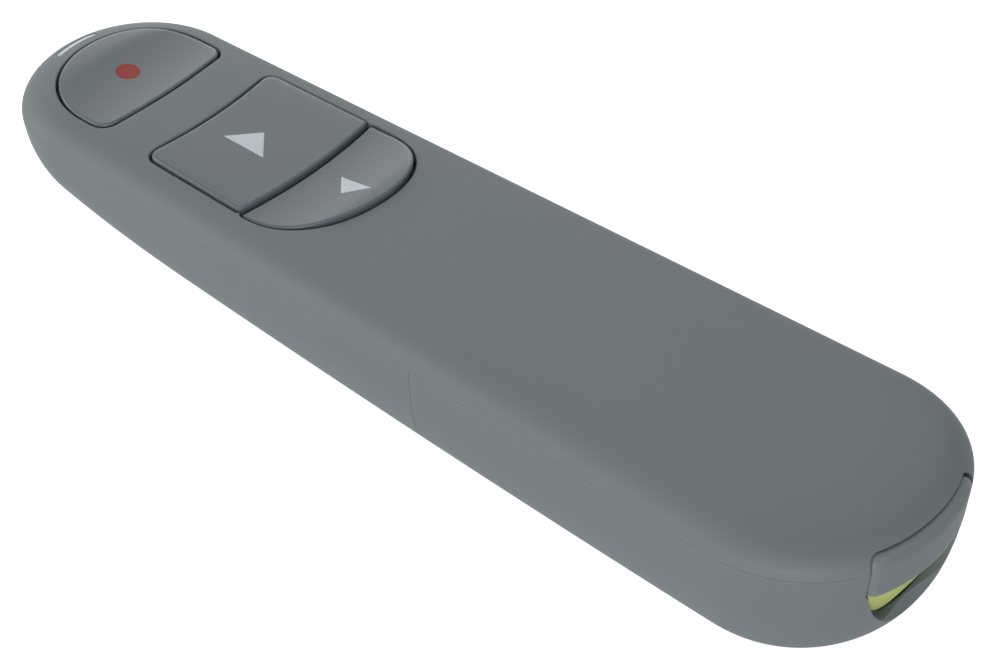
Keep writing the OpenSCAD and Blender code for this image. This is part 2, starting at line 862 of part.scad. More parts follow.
module chassis() {
    color(frame_black)
    difference() {
        union() {
            block([-tray_out, bay_rear, roof_low], [tray_out, bay_front + tray_wall, roof_top]);
            for (side = [-1, 1])
                block(
                    [side > 0 ? tray_in : -tray_out, bay_rear, tray_low],
                    [side > 0 ? tray_out : -tray_in, bay_front + tray_wall, roof_low + seat]
                );
            block([-tray_out, bay_front, tray_low], [tray_out, bay_front + tray_wall, roof_low + seat]);
            block([-tray_out, bay_rear - bay_wall, tray_low], [tray_out, bay_rear, roof_top]);
            block(
                [-divider_t / 2, bay_rear + contact_t + seat, divider_low],
                [divider_t / 2, bay_front, roof_low + seat]
            );
            block(
                [-board_w / 2, bay_front + tray_wall - seat, deck_low],
                [board_w / 2, deck_front, deck_top]
            );
            block(
                [-plug_w / 2 - socket_wall, socket_mouth, plug_z - plug_h / 2 - socket_wall],
                [plug_w / 2 + socket_wall, bay_rear, plug_z + plug_h / 2 + socket_wall]
            );
            for (side = [-1, 1]) {
                translate([side * rear_screw_x, rear_screw_y, ear_low]) cylinder(r = boss_r, h = ear_t);
                block(
                    [side > 0 ? plug_w / 2 : -rear_screw_x, rear_screw_y - boss_r, ear_low],
                    [side > 0 ? rear_screw_x : -plug_w / 2, rear_screw_y + boss_r, ear_low + ear_t]
                );
                translate([side * board_screw_x, board_screw_y, deck_low - board_boss_len])
                cylinder(r = board_boss_r, h = board_boss_len + seat);
            }
        }
        block(
            [-plug_w / 2 - seat, socket_mouth - over, plug_z - plug_h / 2 - seat],
            [plug_w / 2 + seat, socket_end, plug_z + plug_h / 2 + seat]
        );
        for (side = [-1, 1]) {
            contact_tab(side, seat);
            translate([side * rear_screw_x, rear_screw_y, 0]) cylinder(r = screw_r + slip, h = far);
            translate([side * front_screw_x, front_screw_y, 0]) cylinder(r = screw_r + slip, h = far);
            translate([side * board_screw_x, board_screw_y, deck_low - board_boss_len - over])
            cylinder(r = board_screw_r + fit, h = far);
        }
    }
}

module main_board() {
    color("darkgreen")
    difference() {
        block([-board_w / 2, board_back, deck_top], [board_w / 2, board_front, board_top]);
        for (side = [-1, 1])
            translate([side * board_screw_x, board_screw_y, 0]) cylinder(r = board_screw_r + slip, h = far);
    }
}

// Tactile switch: base with a well, and the plunger that stands in it
module switch_base(y) {
    color([0.2, 0.2, 0.22])
    difference() {
        block([-switch_w / 2, y - switch_w / 2, board_top], [switch_w / 2, y + switch_w / 2, switch_top]);
        translate([0, y, switch_top - plunger_in - plunger_out])
        cylinder(r = plunger_r + seat, h = far);
    }
}
module switch_plunger(y) {
    color("saddlebrown")
    translate([0, y, switch_top - plunger_in])
    cylinder(r = plunger_r, h = plunger_in + plunger_out);
}
module laser_switch_base() { switch_base(laser_switch_y); }
module next_switch_base() { switch_base(next_switch_y); }
module previous_switch_base() { switch_base(previous_switch_y); }
module laser_switch_plunger() { switch_plunger(laser_switch_y); }
module next_switch_plunger() { switch_plunger(next_switch_y); }
module previous_switch_plunger() { switch_plunger(previous_switch_y); }

module radio_chip() {
    color([0.15, 0.15, 0.16])
    block([chip_x, chip_y, board_top], [chip_x + chip_w, chip_y + chip_w, board_top + chip_h]);
}

module crystal_can() {
    color(steel)
    block([can_x, can_y, board_top], [can_x + can_w, can_y + can_len, board_top + can_h]);
}

// Rows of chip resistors and capacitors
module small_parts() {
    color("tan")
    for (y = small_rows) for (side = [-1, 1]) for (i = [0 : 2])
        translate([side * (small_x + small_pitch * i), y, board_top])
        cube(small_part);
}

module status_led() {
    color("white")
    block(
        [guide_x, guide_foot_y, board_top],
        [guide_end_x, guide_foot_y + led_len, board_top + led_h]
    );
}

// Clear guide from the status light over the board to the crescent in the nose
module light_guide() {
    color([0.9, 0.95, 1.0])
    union() {
        intersection() {
            prism(light_line(0), guide_low, far);
            dome(0);
        }
        block(
            [-light_w / 2, guide_back, guide_low],
            [light_w / 2, head_y - wall, guide_low + guide_shelf]
        );
        block(
            [light_w / 2 - guide_t, guide_back, guide_arm_low],
            [light_w / 2, guide_front, guide_low + guide_shelf / 2]
        );
        block(
            [light_w / 2 - guide_t, guide_back, guide_arm_low],
            [guide_end_x, guide_front, guide_arm_low + guide_arm_h]
        );
        block(
            [guide_x, guide_back, guide_bar_low + guide_bar_h / 2],
            [guide_end_x, guide_front, guide_arm_low + guide_arm_h]
        );
        block(
            [guide_x, guide_foot_y, guide_bar_low],
            [guide_end_x, guide_back + seat, guide_bar_low + guide_bar_h]
        );
        block(
            [guide_x, guide_foot_y, board_top + led_h + seat],
            [guide_end_x, guide_foot_y + led_len, guide_bar_low + guide_bar_h / 2]
        );
    }
}

module laser_barrel() {
    color(brass)
    difference() {
        y_bar(0, barrel_back, laser_z, barrel_r, barrel_len);
        y_bar(0, barrel_back - over, laser_z, barrel_r - barrel_wall, barrel_len + 2 * over);
    }
}

module laser_diode() {
    color(gold)
    y_bar(0, barrel_back - diode_out, laser_z, barrel_r - barrel_wall - fit, diode_len);
}

// Lens with one domed face
module laser_lens() {
    r = barrel_r - barrel_wall - fit;
    color("lightcyan")
    intersection() {
        y_bar(0, barrel_front - lens_inset - lens_t, laser_z, r, lens_t);
        translate([0, barrel_front - lens_inset - 2 * r + seat, laser_z]) sphere(r = 2 * r);
    }
}

module laser_window() {
    color("darkred")
    y_bar(0, window_back, laser_z, window_r, window_front - window_back);
}

// Two wires from the diode down to the board
module laser_leads() {
    color("orangered")
    for (side = [-1, 1]) {
        y_bar(side * lead_x, lead_y, lead_z, lead_r, barrel_back - diode_out - lead_y);
        translate([side * lead_x, lead_y, board_top]) cylinder(r = lead_r, h = lead_z - board_top);
        translate([side * lead_x, lead_y, lead_z]) sphere(r = lead_r);
    }
}

// Grip outside, guide plate inside the wall and the arm to the switch
module power_slider() {
    wall_out = half_w(slider_y);
    plate_x = wall_out - draft - wall - clear;
    half_plate = slider_len / 2 + slider_plate_lap;
    low = slider_z - slider_h / 2;
    high = slider_z + slider_h / 2;
    color([0.2, 0.22, 0.22])
    union() {
        block(
            [plate_x - slider_plate_t, slider_rest - slider_len / 2, low],
            [wall_out + slider_out, slider_rest + slider_len / 2, high]
        );
        block(
            [plate_x - slider_plate_t, slider_rest - half_plate, low - slider_plate_low],
            [plate_x, slider_rest + half_plate, high + slider_plate_high]
        );
        block(
            [board_w / 2 - switch_lever_in, slider_rest - slider_arm_w / 2, slider_z - slider_arm_h / 2],
            [plate_x, slider_rest + slider_arm_w / 2, slider_z + slider_arm_h / 2]
        );
    }
}

module power_switch_body() {
    reach = (slider_arm_w + slider_travel) / 2 + slip;
    color(steel)
    difference() {
        block(
            [board_w / 2 - switch_body_w, slider_y - switch_body_len / 2, board_top],
            [board_w / 2, slider_y + switch_body_len / 2, board_top + switch_body_h]
        );
        block(
            [board_w / 2 - switch_lever_in - slip, slider_y - reach, slider_z - slider_arm_h / 2 - slip],
            [board_w, slider_y + reach, slider_z + slider_arm_h / 2 + slip]
        );
    }
}

// Cell with its positive nub at the end that way points to
module cell(x, y_from, way) {
    can = cell_len - nub_len;
    y_bar(x, way > 0 ? y_from : y_from + nub_len, cell_z, cell_r, can);
    y_bar(x, way > 0 ? y_from + can - seat : y_from, cell_z, nub_r, nub_len + seat);
}
module battery_left() {
    color("dimgray") cell(-cell_x, left_cell_y, -1);
}
module battery_right() {
    color("dimgray") cell(cell_x, right_cell_y, 1);
}

// Contact plate standing against a bay wall
module plate(x_from, x_to, y) {
    block([x_from, y, cell_z - contact_h / 2], [x_to, y + contact_t, contact_top]);
}
module bridge_contact() {
    color(steel) plate(-cell_x - contact_w / 2, cell_x + contact_w / 2, bay_rear);
}
module end_contact(side) {
    color(steel)
    union() {
        plate(side * cell_x - contact_w / 2, side * cell_x + contact_w / 2, bay_front - contact_t);
        block(
            [side * cell_x - tab_w / 2, bay_front - contact_t, board_top - contact_t],
            [side * cell_x + tab_w / 2, bay_front + tab_len, board_top]
        );
    }
}
module positive_contact() { end_contact(1); }
module negative_contact() { end_contact(-1); }

// Coil spring along Y, its radius changing evenly from one end to the other
module coil(x, y_from, y_to, r_from, r_to) {
    steps = turn_steps * spring_turns;
    rings = [
        for (i = [0 : steps]) let (
            a = 360 / turn_steps * i,
            r = lerp(r_from, r_to, i / steps),
            y = lerp(y_from + spring_wire, y_to - spring_wire, i / steps)
        ) [
            for (k = [0 : wire_sides - 1])
                let (b = 360 / wire_sides * k, out = r + spring_wire * cos(b))
                [x + out * cos(a), y + spring_wire * sin(b), cell_z + out * sin(a)]
        ]
    ];
    walls = [
        for (j = [0 : steps - 1]) for (k = [0 : wire_sides - 1])
            let (m = (k + 1) % wire_sides, a = j * wire_sides, b = a + wire_sides)
            for (f = [[a + k, a + m, b + m], [a + k, b + m, b + k]]) f
    ];
    first = [for (k = [wire_sides - 1 : -1 : 0]) k];
    final = [for (k = [0 : wire_sides - 1]) steps * wire_sides + k];
    polyhedron(joined(rings), concat([first, final], walls));
}
module battery_springs() {
    color(steel) {
        coil(-cell_x, left_cell_y + cell_len + seat, bay_front - contact_t - seat,
             spring_tip_r, spring_foot_r);
        coil(cell_x, bay_rear + contact_t + seat, right_cell_y - seat, spring_foot_r, spring_tip_r);
    }
}

// Insulated leads from the contact tabs to the board
module battery_leads() {
    color("firebrick")
    for (side = [-1, 1])
        y_bar(side * cell_x, lead_wire_from, board_top + lead_wire_r, lead_wire_r,
              lead_wire_to - lead_wire_from);
}

module housing_screws() {
    color(steel)
    for (p = screw_places) {
        head = (p.y > 0 ? pocket_top : ear_low) - screw_head_h;
        translate([p.x, p.y, head]) {
            cylinder(r = screw_head_r, h = screw_head_h);
            cylinder(r = screw_r, h = p.z + screw_bite - screw_spare - head);
        }
    }
}

module board_screws() {
    color(steel)
    for (side = [-1, 1]) translate([side * board_screw_x, board_screw_y, board_top]) {
        cylinder(r = 2 * board_screw_r, h = board_screw_r);
        translate([0, 0, -board_screw_len]) cylinder(r = board_screw_r, h = board_screw_len + seat);
    }
}

module receiver_cap() {
    color(shell_grey)
    intersection() {
        cap_prism(0, tail_y - over, cap_back);
        envelope(0);
    }
}

module receiver_body() {
    color(lime)
    receiver_prism(0, cap_back, receiver_back);
}

module receiver_plug_shell() {
    color(steel)
    difference() {
        block(
            [-plug_w / 2, receiver_back, plug_z - plug_h / 2],
            [plug_w / 2, plug_tip, plug_z + plug_h / 2]
        );
        block(
            [-plug_w / 2 + plug_shell_t, receiver_back - over, plug_z - plug_h / 2 + plug_shell_t],
            [plug_w / 2 - plug_shell_t, plug_tip + over, plug_z + plug_h / 2 - plug_shell_t]
        );
        for (side = [-1, 1])
            block(
                [side * plug_hole_x - plug_hole_w / 2, plug_hole_y, plug_z - plug_h],
                [side * plug_hole_x + plug_hole_w / 2, plug_hole_y + plug_hole_w, plug_z + plug_h]
            );
    }
}

module receiver_tongue() {
    color("white")
    block(
        [-plug_w / 2 + plug_shell_t + seat, receiver_back, tongue_low],
        [plug_w / 2 - plug_shell_t - seat, plug_tip - tongue_inset, tongue_top]
    );
}

// Four gold contacts on the underside of the tongue
module receiver_contacts() {
    color(gold)
    for (i = [-1.5 : 1.5])
        let (x = plug_contact_pitch * i)
        block(
            [x - plug_contact_w / 2, plug_contact_back, tongue_low - plug_contact_t],
            [x + plug_contact_w / 2, plug_contact_front, tongue_low]
        );
}

top_shell();
bottom_shell();
battery_door();
chassis();
laser_button();
next_button();
previous_button();
laser_mark();
next_arrow();
previous_arrow();
laser_switch_base();
next_switch_base();
previous_switch_base();
laser_switch_plunger();
next_switch_plunger();
previous_switch_plunger();
main_board();
radio_chip();
crystal_can();
small_parts();
status_led();
light_guide();
laser_barrel();
laser_diode();
laser_lens();
laser_window();
laser_leads();
power_slider();
power_switch_body();
battery_left();
battery_right();
bridge_contact();
positive_contact();
negative_contact();
battery_springs();
battery_leads();
housing_screws();
board_screws();
receiver_cap();
receiver_body();
receiver_plug_shell();
receiver_tongue();
receiver_contacts();
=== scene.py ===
import json

import bmesh
import bpy
import numpy as np
from mathutils import Matrix, Vector


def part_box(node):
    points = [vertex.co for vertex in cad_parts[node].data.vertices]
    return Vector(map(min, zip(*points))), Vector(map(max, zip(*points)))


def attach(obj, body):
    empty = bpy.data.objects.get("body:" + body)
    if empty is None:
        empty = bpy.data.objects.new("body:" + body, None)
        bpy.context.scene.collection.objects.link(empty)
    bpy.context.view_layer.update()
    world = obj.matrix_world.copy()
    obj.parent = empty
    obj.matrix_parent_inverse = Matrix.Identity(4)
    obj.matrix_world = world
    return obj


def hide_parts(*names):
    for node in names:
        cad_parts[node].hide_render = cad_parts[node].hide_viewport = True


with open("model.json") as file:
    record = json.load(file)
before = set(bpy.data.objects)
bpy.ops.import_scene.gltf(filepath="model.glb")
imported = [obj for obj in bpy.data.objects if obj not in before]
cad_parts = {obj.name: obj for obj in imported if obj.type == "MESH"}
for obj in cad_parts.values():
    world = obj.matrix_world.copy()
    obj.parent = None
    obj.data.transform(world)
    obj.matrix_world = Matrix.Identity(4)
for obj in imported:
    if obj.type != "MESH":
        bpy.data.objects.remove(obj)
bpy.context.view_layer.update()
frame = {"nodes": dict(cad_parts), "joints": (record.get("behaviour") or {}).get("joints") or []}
mm = 0.001  # every size below is in millimetres

# The moulded outline, its rounded ends and the two skins
handset = {
    "length": 133.0,
    "tailWidth": 37.5,
    "headWidth": 29.8,
    "height": 16.6,
    "topShellHeight": 3.6,
    "tailRound": 17.8,
    "headRound": 13.1,
    "tailPower": 2.1,
    "headPower": 2.03,
    "shoulderWidth": 5.5,
    "shoulderInside": 3.0,
    "shoulderEnd": np.radians(75),
    "crownDrop": 0.4,
    "draft": 1.1,
    "footRound": 2.5,
    "footInside": 1.6,
    "footShare": 0.77,
    "noseWallHeight": 3.6,
    "gentleLength": 120.0,  # the underside's slight rise starts this far behind the nose
    "gentleRise": 4.8,
    "steepLength": 36.5,  # and its steep rise this far
    "steepPower": 2.7,
    "wall": 1.6,
    "topWall": 1.7,
    "lip": 0.16,  # rounding of both rims where the shells meet
    "crownPower": 1.6,  # the crown is never fuller than this power
    "rimHeight": 0.2,  # the side wall is at least this high
    "spineShare": 0.06,  # the innermost ring's width as a share of the outline's
    "rimWear": 0.6,
    "footWear": 0.35,
    "deepestInset": 12.9,
    "endSteps": 46,
    "sideSteps": 96,
}
tailTip = -handset["length"] / 2
noseTip = handset["length"] / 2
tailMid = tailTip + handset["tailRound"]
noseMid = noseTip - handset["headRound"]
parting = handset["height"] - handset["topShellHeight"]
noseRise = parting - handset["noseWallHeight"]
shoulderTop = handset["height"] - handset["crownDrop"]
ceiling = shoulderTop - handset["topWall"]


def quarterTurn(steps):
    # evenly spaced angles from zero to a right angle
    return np.linspace(0, np.pi / 2, steps)


def halfWidth(y):
    # straight taper from the tail's width to the head's
    share = (y - tailMid) / (noseMid - tailMid)
    return (handset["tailWidth"] + (handset["headWidth"] - handset["tailWidth"]) * share) / 2


def underside(y):
    # level, then a slight rise as a square, and a steep one as a power, of the distance towards the nose
    h = handset
    gentle = np.maximum(0, y - noseTip + h["gentleLength"]) / h["gentleLength"]
    steep = np.maximum(0, y - noseTip + h["steepLength"]) / h["steepLength"]
    return h["gentleRise"] * gentle ** 2 + (noseRise - h["gentleRise"]) * steep ** h["steepPower"]


def outlineFrame():
    # a row for each outline point: middle of its end rounding, signed length, sine and cosine parts, side
    turn = quarterTurn(handset["endSteps"] + 1)
    tail = turn[::-1]
    sideY = tailMid + (noseMid - tailMid) * np.linspace(0, 1, handset["sideSteps"] + 1)[1:-1]
    tailPower, headPower = handset["tailPower"], handset["headPower"]
    right = np.concatenate([
        np.stack([0 * tail + tailMid, 0 * tail - handset["tailRound"], np.sin(tail) ** (2 / tailPower),
                  np.abs(np.cos(tail)) ** (2 / tailPower)], 1),
        np.stack([sideY, 0 * sideY, 0 * sideY, 0 * sideY + 1], 1),
        np.stack([0 * turn + noseMid, 0 * turn + handset["headRound"], np.sin(turn) ** (2 / headPower),
                  np.abs(np.cos(turn)) ** (2 / headPower)], 1)])
    right[[0, -1], 3] = 0
    left = right[-2:0:-1]
    side = np.concatenate([np.ones(len(right)), -np.ones(len(left))])
    return np.column_stack([np.concatenate([right, left]), side])


outline = outlineFrame()
ringCount = len(outline)


def innerLine(inset):
    # the outline with both its widths and its end roundings made smaller by inset
    mid, length, along, across, side = outline.T
    y = mid + (length - np.sign(length) * inset) * along
    return np.stack([side * (halfWidth(y) - inset) * across, y], 1)


def atHeight(line, z):
    # a flat line carried to one height, or to a height for each point
    return np.column_stack([line, np.broadcast_to(z, len(line))])


def shoulderRing(turn, width, inset, top):
    # quarter-ellipse shoulder: inwards by the cosine, upwards by the sine of turn
    z = parting + (top - parting) * np.sin(turn) / np.sin(handset["shoulderEnd"])
    return atHeight(innerLine(inset + width * (1 - np.cos(turn))), z)


def crownRise(share, ray):
    # crown over the shoulder: a power that starts with the shoulder's own slope
    end = handset["shoulderEnd"]
    slope = (shoulderTop - parting) / np.tan(end) / (handset["shoulderWidth"] * np.sin(end))
    power = np.maximum(handset["crownPower"], slope * ray / handset["crownDrop"])
    return handset["crownDrop"] * (1 - share ** power)


def crownRing(share, width, inset, top):
    # the shoulder's inner line drawn in towards the spine
    line = innerLine(inset + width * (1 - np.cos(handset["shoulderEnd"])))
    mid = np.clip(line[:, 1], tailMid, noseMid)
    ray = np.hypot(line[:, 0], line[:, 1] - mid)
    x = share * line[:, 0]
    y = mid + share * (line[:, 1] - mid)
    return np.column_stack([x, y, top + crownRise(share, ray)])


def insetOf(x, y):
    # how far inside the outline a point lies, by halving the interval
    mid = np.where(y < 0, tailMid, noseMid)
    length = np.where(y < 0, handset["tailRound"], handset["headRound"])
    power = np.where(y < 0, handset["tailPower"], handset["headPower"])
    along = np.maximum(0, np.where(y < 0, mid - y, y - mid))
    low, high = np.zeros_like(x), np.full_like(x, handset["deepestInset"])
    for step in range(40):
        inset = (low + high) / 2
        reach = (np.abs(x) / (halfWidth(y) - inset)) ** power + (along / (length - inset)) ** power
        low, high = np.where(reach < 1, inset, low), np.where(reach < 1, high, inset)
    return (low + high) / 2


def domeHeight(x, y):
    # height of the top skin over a point: shoulder near the outline, crown inside it
    width, end = handset["shoulderWidth"], handset["shoulderEnd"]
    join = width * (1 - np.cos(end))
    inset = insetOf(x, y)
    turn = np.arccos(np.clip(1 - inset / width, np.cos(end), 1))
    shoulder = parting + (shoulderTop - parting) * np.sin(turn) / np.sin(end)
    mid = np.clip(y, tailMid, noseMid)
    length = np.where(y < 0, handset["tailRound"], handset["headRound"]) - join
    power = np.where(y < 0, handset["tailPower"], handset["headPower"])
    share = np.full_like(x, 0.5)
    for step in range(25):
        lineY = mid + (y - mid) / share
        reach = (np.abs(x) / (halfWidth(lineY) - join)) ** power + (np.abs(y - mid) / length) ** power
        share = np.clip(reach ** (1 / power), 0.02, 1)
    ray = np.hypot(x, y - mid) / share
    return np.where(inset < join, shoulder, shoulderTop + crownRise(share, ray))


def footRing(turn, height, rounding, inset, lift):
    # side wall: drafted, with an elliptical foot; turn runs from the underside to the end of the foot
    share = handset["footShare"] * (1 - np.sin(turn)) if height is None else height
    drawn = handset["draft"] * (1 - share) + rounding * (1 - np.cos(turn))
    line = innerLine(inset + drawn)
    low = np.minimum(underside(line[:, 1]) + lift, parting - handset["rimHeight"])
    return np.column_stack([line, low + (parting - low) * share])


def floorRing(share, rounding, inset, lift):
    # the foot's lowest ring drawn in towards the spine, over the level or rising underside
    line = footRing(np.pi / 2, None, rounding, inset, lift)
    mid = np.clip(line[:, 1], tailMid, noseMid)
    y = mid + share * (line[:, 1] - mid)
    low = np.minimum(underside(y) + lift, parting - handset["rimHeight"])
    return np.column_stack([share * line[:, 0], y, low])


def ringFaces(rows, count, first=0):
    # quads between neighbouring rings of a closed tube
    j, i = np.meshgrid(np.arange(rows - 1), np.arange(count), indexing="ij")
    a, b = first + j * count + i, first + j * count + (i + 1) % count
    return np.stack([a, b, b + count, a + count], -1).reshape(-1, 4)


def stripFaces(base, up):
    # closes a ring by joining each right-hand point to its mirror point on the left
    i = np.arange(1, ringCount // 2 - 1)
    quads = np.stack([i, i + 1, ringCount - i - 1, ringCount - i], 1) + base
    ends = [[0, 1, ringCount - 1], [ringCount // 2, ringCount // 2 + 1, ringCount // 2 - 1]]
    faces = quads.tolist() + [[base + k for k in end] for end in ends]
    return faces if up else [face[::-1] for face in faces]


def buildMesh(name, verts, faces, wear=None):
    # millimetre points into a metre mesh, with an edge-wear value for each point
    mesh = bpy.data.meshes.new(name)
    mesh.from_pydata((np.asarray(verts) * mm).tolist(), [], faces)
    worn = np.zeros(len(verts)) if wear is None else np.asarray(wear, float)
    mesh.attributes.new("wear", "FLOAT", "POINT").data.foreach_set("value", worn.astype(np.float32))
    mesh.validate()
    mesh.polygons.foreach_set("use_smooth", [True] * len(mesh.polygons))
    return mesh


def makeObject(name, verts, faces, wear=None):
    # a mesh as an object of the scene, placed at the origin
    made = bpy.data.objects.new(name, buildMesh(name, verts, faces, wear))
    bpy.context.scene.collection.objects.link(made)
    return made


def carve(piece, cutters, operation="DIFFERENCE"):
    # exact Booleans, applied at once; the cutters go
    for cutter in cutters:
        change = piece.modifiers.new("carve", "BOOLEAN")
        change.operation, change.object, change.solver = operation, cutter, "EXACT"
    piece.data = bpy.data.meshes.new_from_object(piece.evaluated_get(bpy.context.evaluated_depsgraph_get()))
    piece.modifiers.clear()
    for cutter in cutters:
        bpy.data.objects.remove(cutter)
    return piece


def finishPiece(piece, body, material, replaced=(), sharp=32):
    # smooth faces with sharp edges over an angle, then body, slot, material and the nodes it stands for
    mesh = piece.data
    mesh.polygons.foreach_set("use_smooth", [True] * len(mesh.polygons))
    mesh.set_sharp_from_angle(angle=np.radians(sharp))
    mesh.materials.clear()
    mesh.materials.append(material)
    mesh.polygons.foreach_set("material_index", [0] * len(mesh.polygons))
    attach(piece, body)
    if replaced:
        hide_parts(*replaced)
    return piece


def tube(rings):
    # a stack of equal rings closed by a fan from the middle of the first and of the last
    count, total = len(rings[0]), len(rings) * len(rings[0])
    i = np.arange(count)
    ahead, base = (i + 1) % count, total - count
    faces = ringFaces(len(rings), count).tolist()
    faces += np.stack([0 * i + total, ahead, i], 1).tolist()
    faces += np.stack([0 * i + total + 1, base + i, base + ahead], 1).tolist()
    return np.concatenate(rings + [rings[0].mean(0)[None], rings[-1].mean(0)[None]]), faces


def placed(parts):
    # several closed meshes as one
    verts, faces, first = [], [], 0
    for points, sides in parts:
        verts.append(np.asarray(points))
        faces += [[k + first for k in side] for side in sides]
        first += len(points)
    return np.concatenate(verts), faces


def resample(points, count, passes=0):
    # evenly spaced points along a closed line, its corners softened by a few averaging passes
    loop = np.vstack([points, points[:1]])
    run = np.concatenate([[0], np.cumsum(np.hypot(*np.diff(loop, axis=0).T))])
    at = np.linspace(0, run[-1], count, endpoint=False)
    even = np.stack([np.interp(at, run, loop[:, 0]), np.interp(at, run, loop[:, 1])], 1)
    for step in range(passes):
        even = (np.roll(even, 1, 0) + 2 * even + np.roll(even, -1, 0)) / 4
    return even


def outwards(line):
    # unit normals of an anticlockwise closed line
    ahead = np.roll(line, -1, 0) - np.roll(line, 1, 0)
    return np.stack([ahead[:, 1], -ahead[:, 0]], 1) / np.hypot(*ahead.T)[:, None]


def axisOrder(axis):
    # the two coordinates across the axis, then the one along it
    return [(axis + 1) % 3, (axis + 2) % 3, axis]


def alongAxis(verts, axis, centre):
    # points whose third coordinate runs along the axis, moved to the centre
    back = np.empty_like(verts)
    back[:, axisOrder(axis)] = verts
    return back + centre


def roundBox(low, high, radius, steps=4, axis=2):
    # box with rounded edges and corners: a rounded rectangle carried up a quarter-circle profile
    low, high = np.array(low, float), np.array(high, float)
    size = (high - low)[axisOrder(axis)] / 2
    radius = min(radius, 0.999 * size.min())
    turn = quarterTurn(steps + 1)
    corner = np.concatenate([turn + k * np.pi / 2 for k in range(4)])
    signX = np.repeat([1, -1, -1, 1], steps + 1)
    signY = np.repeat([1, 1, -1, -1], steps + 1)
    rings = []
    for end, turns in ((-1, turn[::-1]), (1, turn)):
        for a in turns:
            lift, r = end * (size[2] - radius * (1 - np.sin(a))), radius - radius * (1 - np.cos(a))
            x = signX * (size[0] - radius) + r * np.cos(corner)
            y = signY * (size[1] - radius) + r * np.sin(corner)
            rings.append(np.stack([x, y, 0 * x + lift], 1))
    verts, faces = tube(rings)
    return alongAxis(verts, axis, (low + high) / 2), faces


def profileRings(profile, count):
    # one circle for each (distance along the axis, radius) of a profile
    angle = np.linspace(0, 2 * np.pi, count, endpoint=False)
    return [np.stack([r * np.cos(angle), r * np.sin(angle), 0 * angle + h], 1) for h, r in profile]


def turned(profile, count, centre, axis=2):
    # a profile that starts and ends near the axis, turned about it
    verts, faces = tube(profileRings(profile, count))
    return alongAxis(verts, axis, centre), faces


def turnedRing(profile, count, centre):
    # a closed profile turned about an upright axis that it doesn't touch
    verts = np.concatenate(profileRings(profile, count))
    faces = ringFaces(len(profile) + 1, count) % len(verts)
    return alongAxis(verts, 2, centre), faces.tolist()


def wireAlong(path, radius, sides=12):
    # a round wire swept along a path, its section kept square to the path
    path = np.asarray(path, float)
    ahead = np.gradient(path, axis=0)
    ahead /= np.linalg.norm(ahead, axis=1)[:, None]
    up = np.cross(ahead, [0.03, 1, 0.02])
    up /= np.linalg.norm(up, axis=1)[:, None]
    out = np.cross(up, ahead)
    angle = np.linspace(0, 2 * np.pi, sides, endpoint=False)
    across, along = np.cos(angle)[:, None], np.sin(angle)[:, None]
    rings = [p + radius * (across * u + along * o) for p, u, o in zip(path, up, out)]
    return tube(rings)


class Wire:
    # a socket of one node tree; arithmetic on it adds Math nodes
    def __init__(self, nodes, socket):
        self.nodes, self.socket = nodes, socket

    def math(self, operation, first, second):
        # one Math node with two values
        return self.nodes.node("Math", {"operation": operation}, {0: first, 1: second})

    def __add__(self, other):
        return self.math("ADD", self, other)

    def __radd__(self, other):
        return self.math("ADD", other, self)

    def __sub__(self, other):
        return self.math("SUBTRACT", self, other)

    def __rsub__(self, other):
        return self.math("SUBTRACT", other, self)

    def __mul__(self, other):
        return self.math("MULTIPLY", self, other)

    def __rmul__(self, other):
        return self.math("MULTIPLY", other, self)

    def __or__(self, other):
        # the larger of two values
        return self.math("MAXIMUM", self, other)

    def over(self, low, high):
        # 0 at low, 1 at high, held there beyond them
        return self.nodes.node("MapRange", {"clamp": True}, {0: self, 1: low, 2: high, 3: 0.0, 4: 1.0})


class Nodes:
    # the node tree of a material or of the world, emptied and then built node by node
    def __init__(self, owner):
        owner.use_nodes = True
        self.tree = owner.node_tree
        self.tree.nodes.clear()

    def node(self, kind, settings=None, sockets=None, out=0):
        # settings first, then each socket's value or link
        made = self.tree.nodes.new("ShaderNode" + kind)
        for name, value in (settings or {}).items():
            setattr(made, name, value)
        for name, value in (sockets or {}).items():
            if isinstance(value, Wire):
                self.tree.links.new(value.socket, made.inputs[name])
            else:
                made.inputs[name].default_value = value
        return None if out is None else Wire(self, made.outputs[out])

    def ray(self, kind):
        # 1 for rays of that kind, else 0
        return self.node("LightPath", out=f"Is {kind} Ray")


class Finish(Nodes):
    # one material, its patterns on the object's own coordinates
    def __init__(self, name):
        self.material = bpy.data.materials.new(name)
        super().__init__(self.material)
        self.place = self.node("TexCoord", out="Object")

    def noise(self, size, detail=2.0, rough=0.5, vector=None):
        # noise with features of about size millimetres
        return self.node("TexNoise", sockets={"Vector": vector or self.place, "Scale": 1 / (size * mm),
                                              "Detail": detail, "Roughness": rough})

    def stretched(self, along):
        # the place with its Y shortened, which draws a pattern out along Y
        return self.node("Mapping", sockets={"Vector": self.place, "Scale": (1, along, 1)})

    def attribute(self, name):
        # a value stored for each point of the mesh
        return self.node("Attribute", {"attribute_name": name}, out="Fac")

    def mix(self, factor, first, second):
        # the first colour at 0, the second at 1
        return self.node("Mix", {"data_type": "RGBA"}, {0: factor, 6: first, 7: second}, 2)

    def bump(self, height, depth):
        # depth in millimetres
        return self.node("Bump", sockets={"Height": height, "Distance": depth * mm, "Strength": 1.0})

    def surface(self, **sockets):
        # principled shader straight to the output
        named = {name.replace("_", " "): value for name, value in sockets.items()}
        self.node("OutputMaterial", sockets={"Surface": self.node("BsdfPrincipled", sockets=named)}, out=None)
        return self.material


def linear(red, green, blue):
    # screen colour of 0 to 255 as linear light
    share = np.array([red, green, blue]) / 255
    light = np.where(share < 0.04045, share / 12.92, ((share + 0.055) / 1.055) ** 2.4)
    return (*light.tolist(), 1.0)


def tinted(colour, factor):
    # a colour made darker or lighter
    return (*[min(1.0, part * factor) for part in colour[:3]], 1.0)


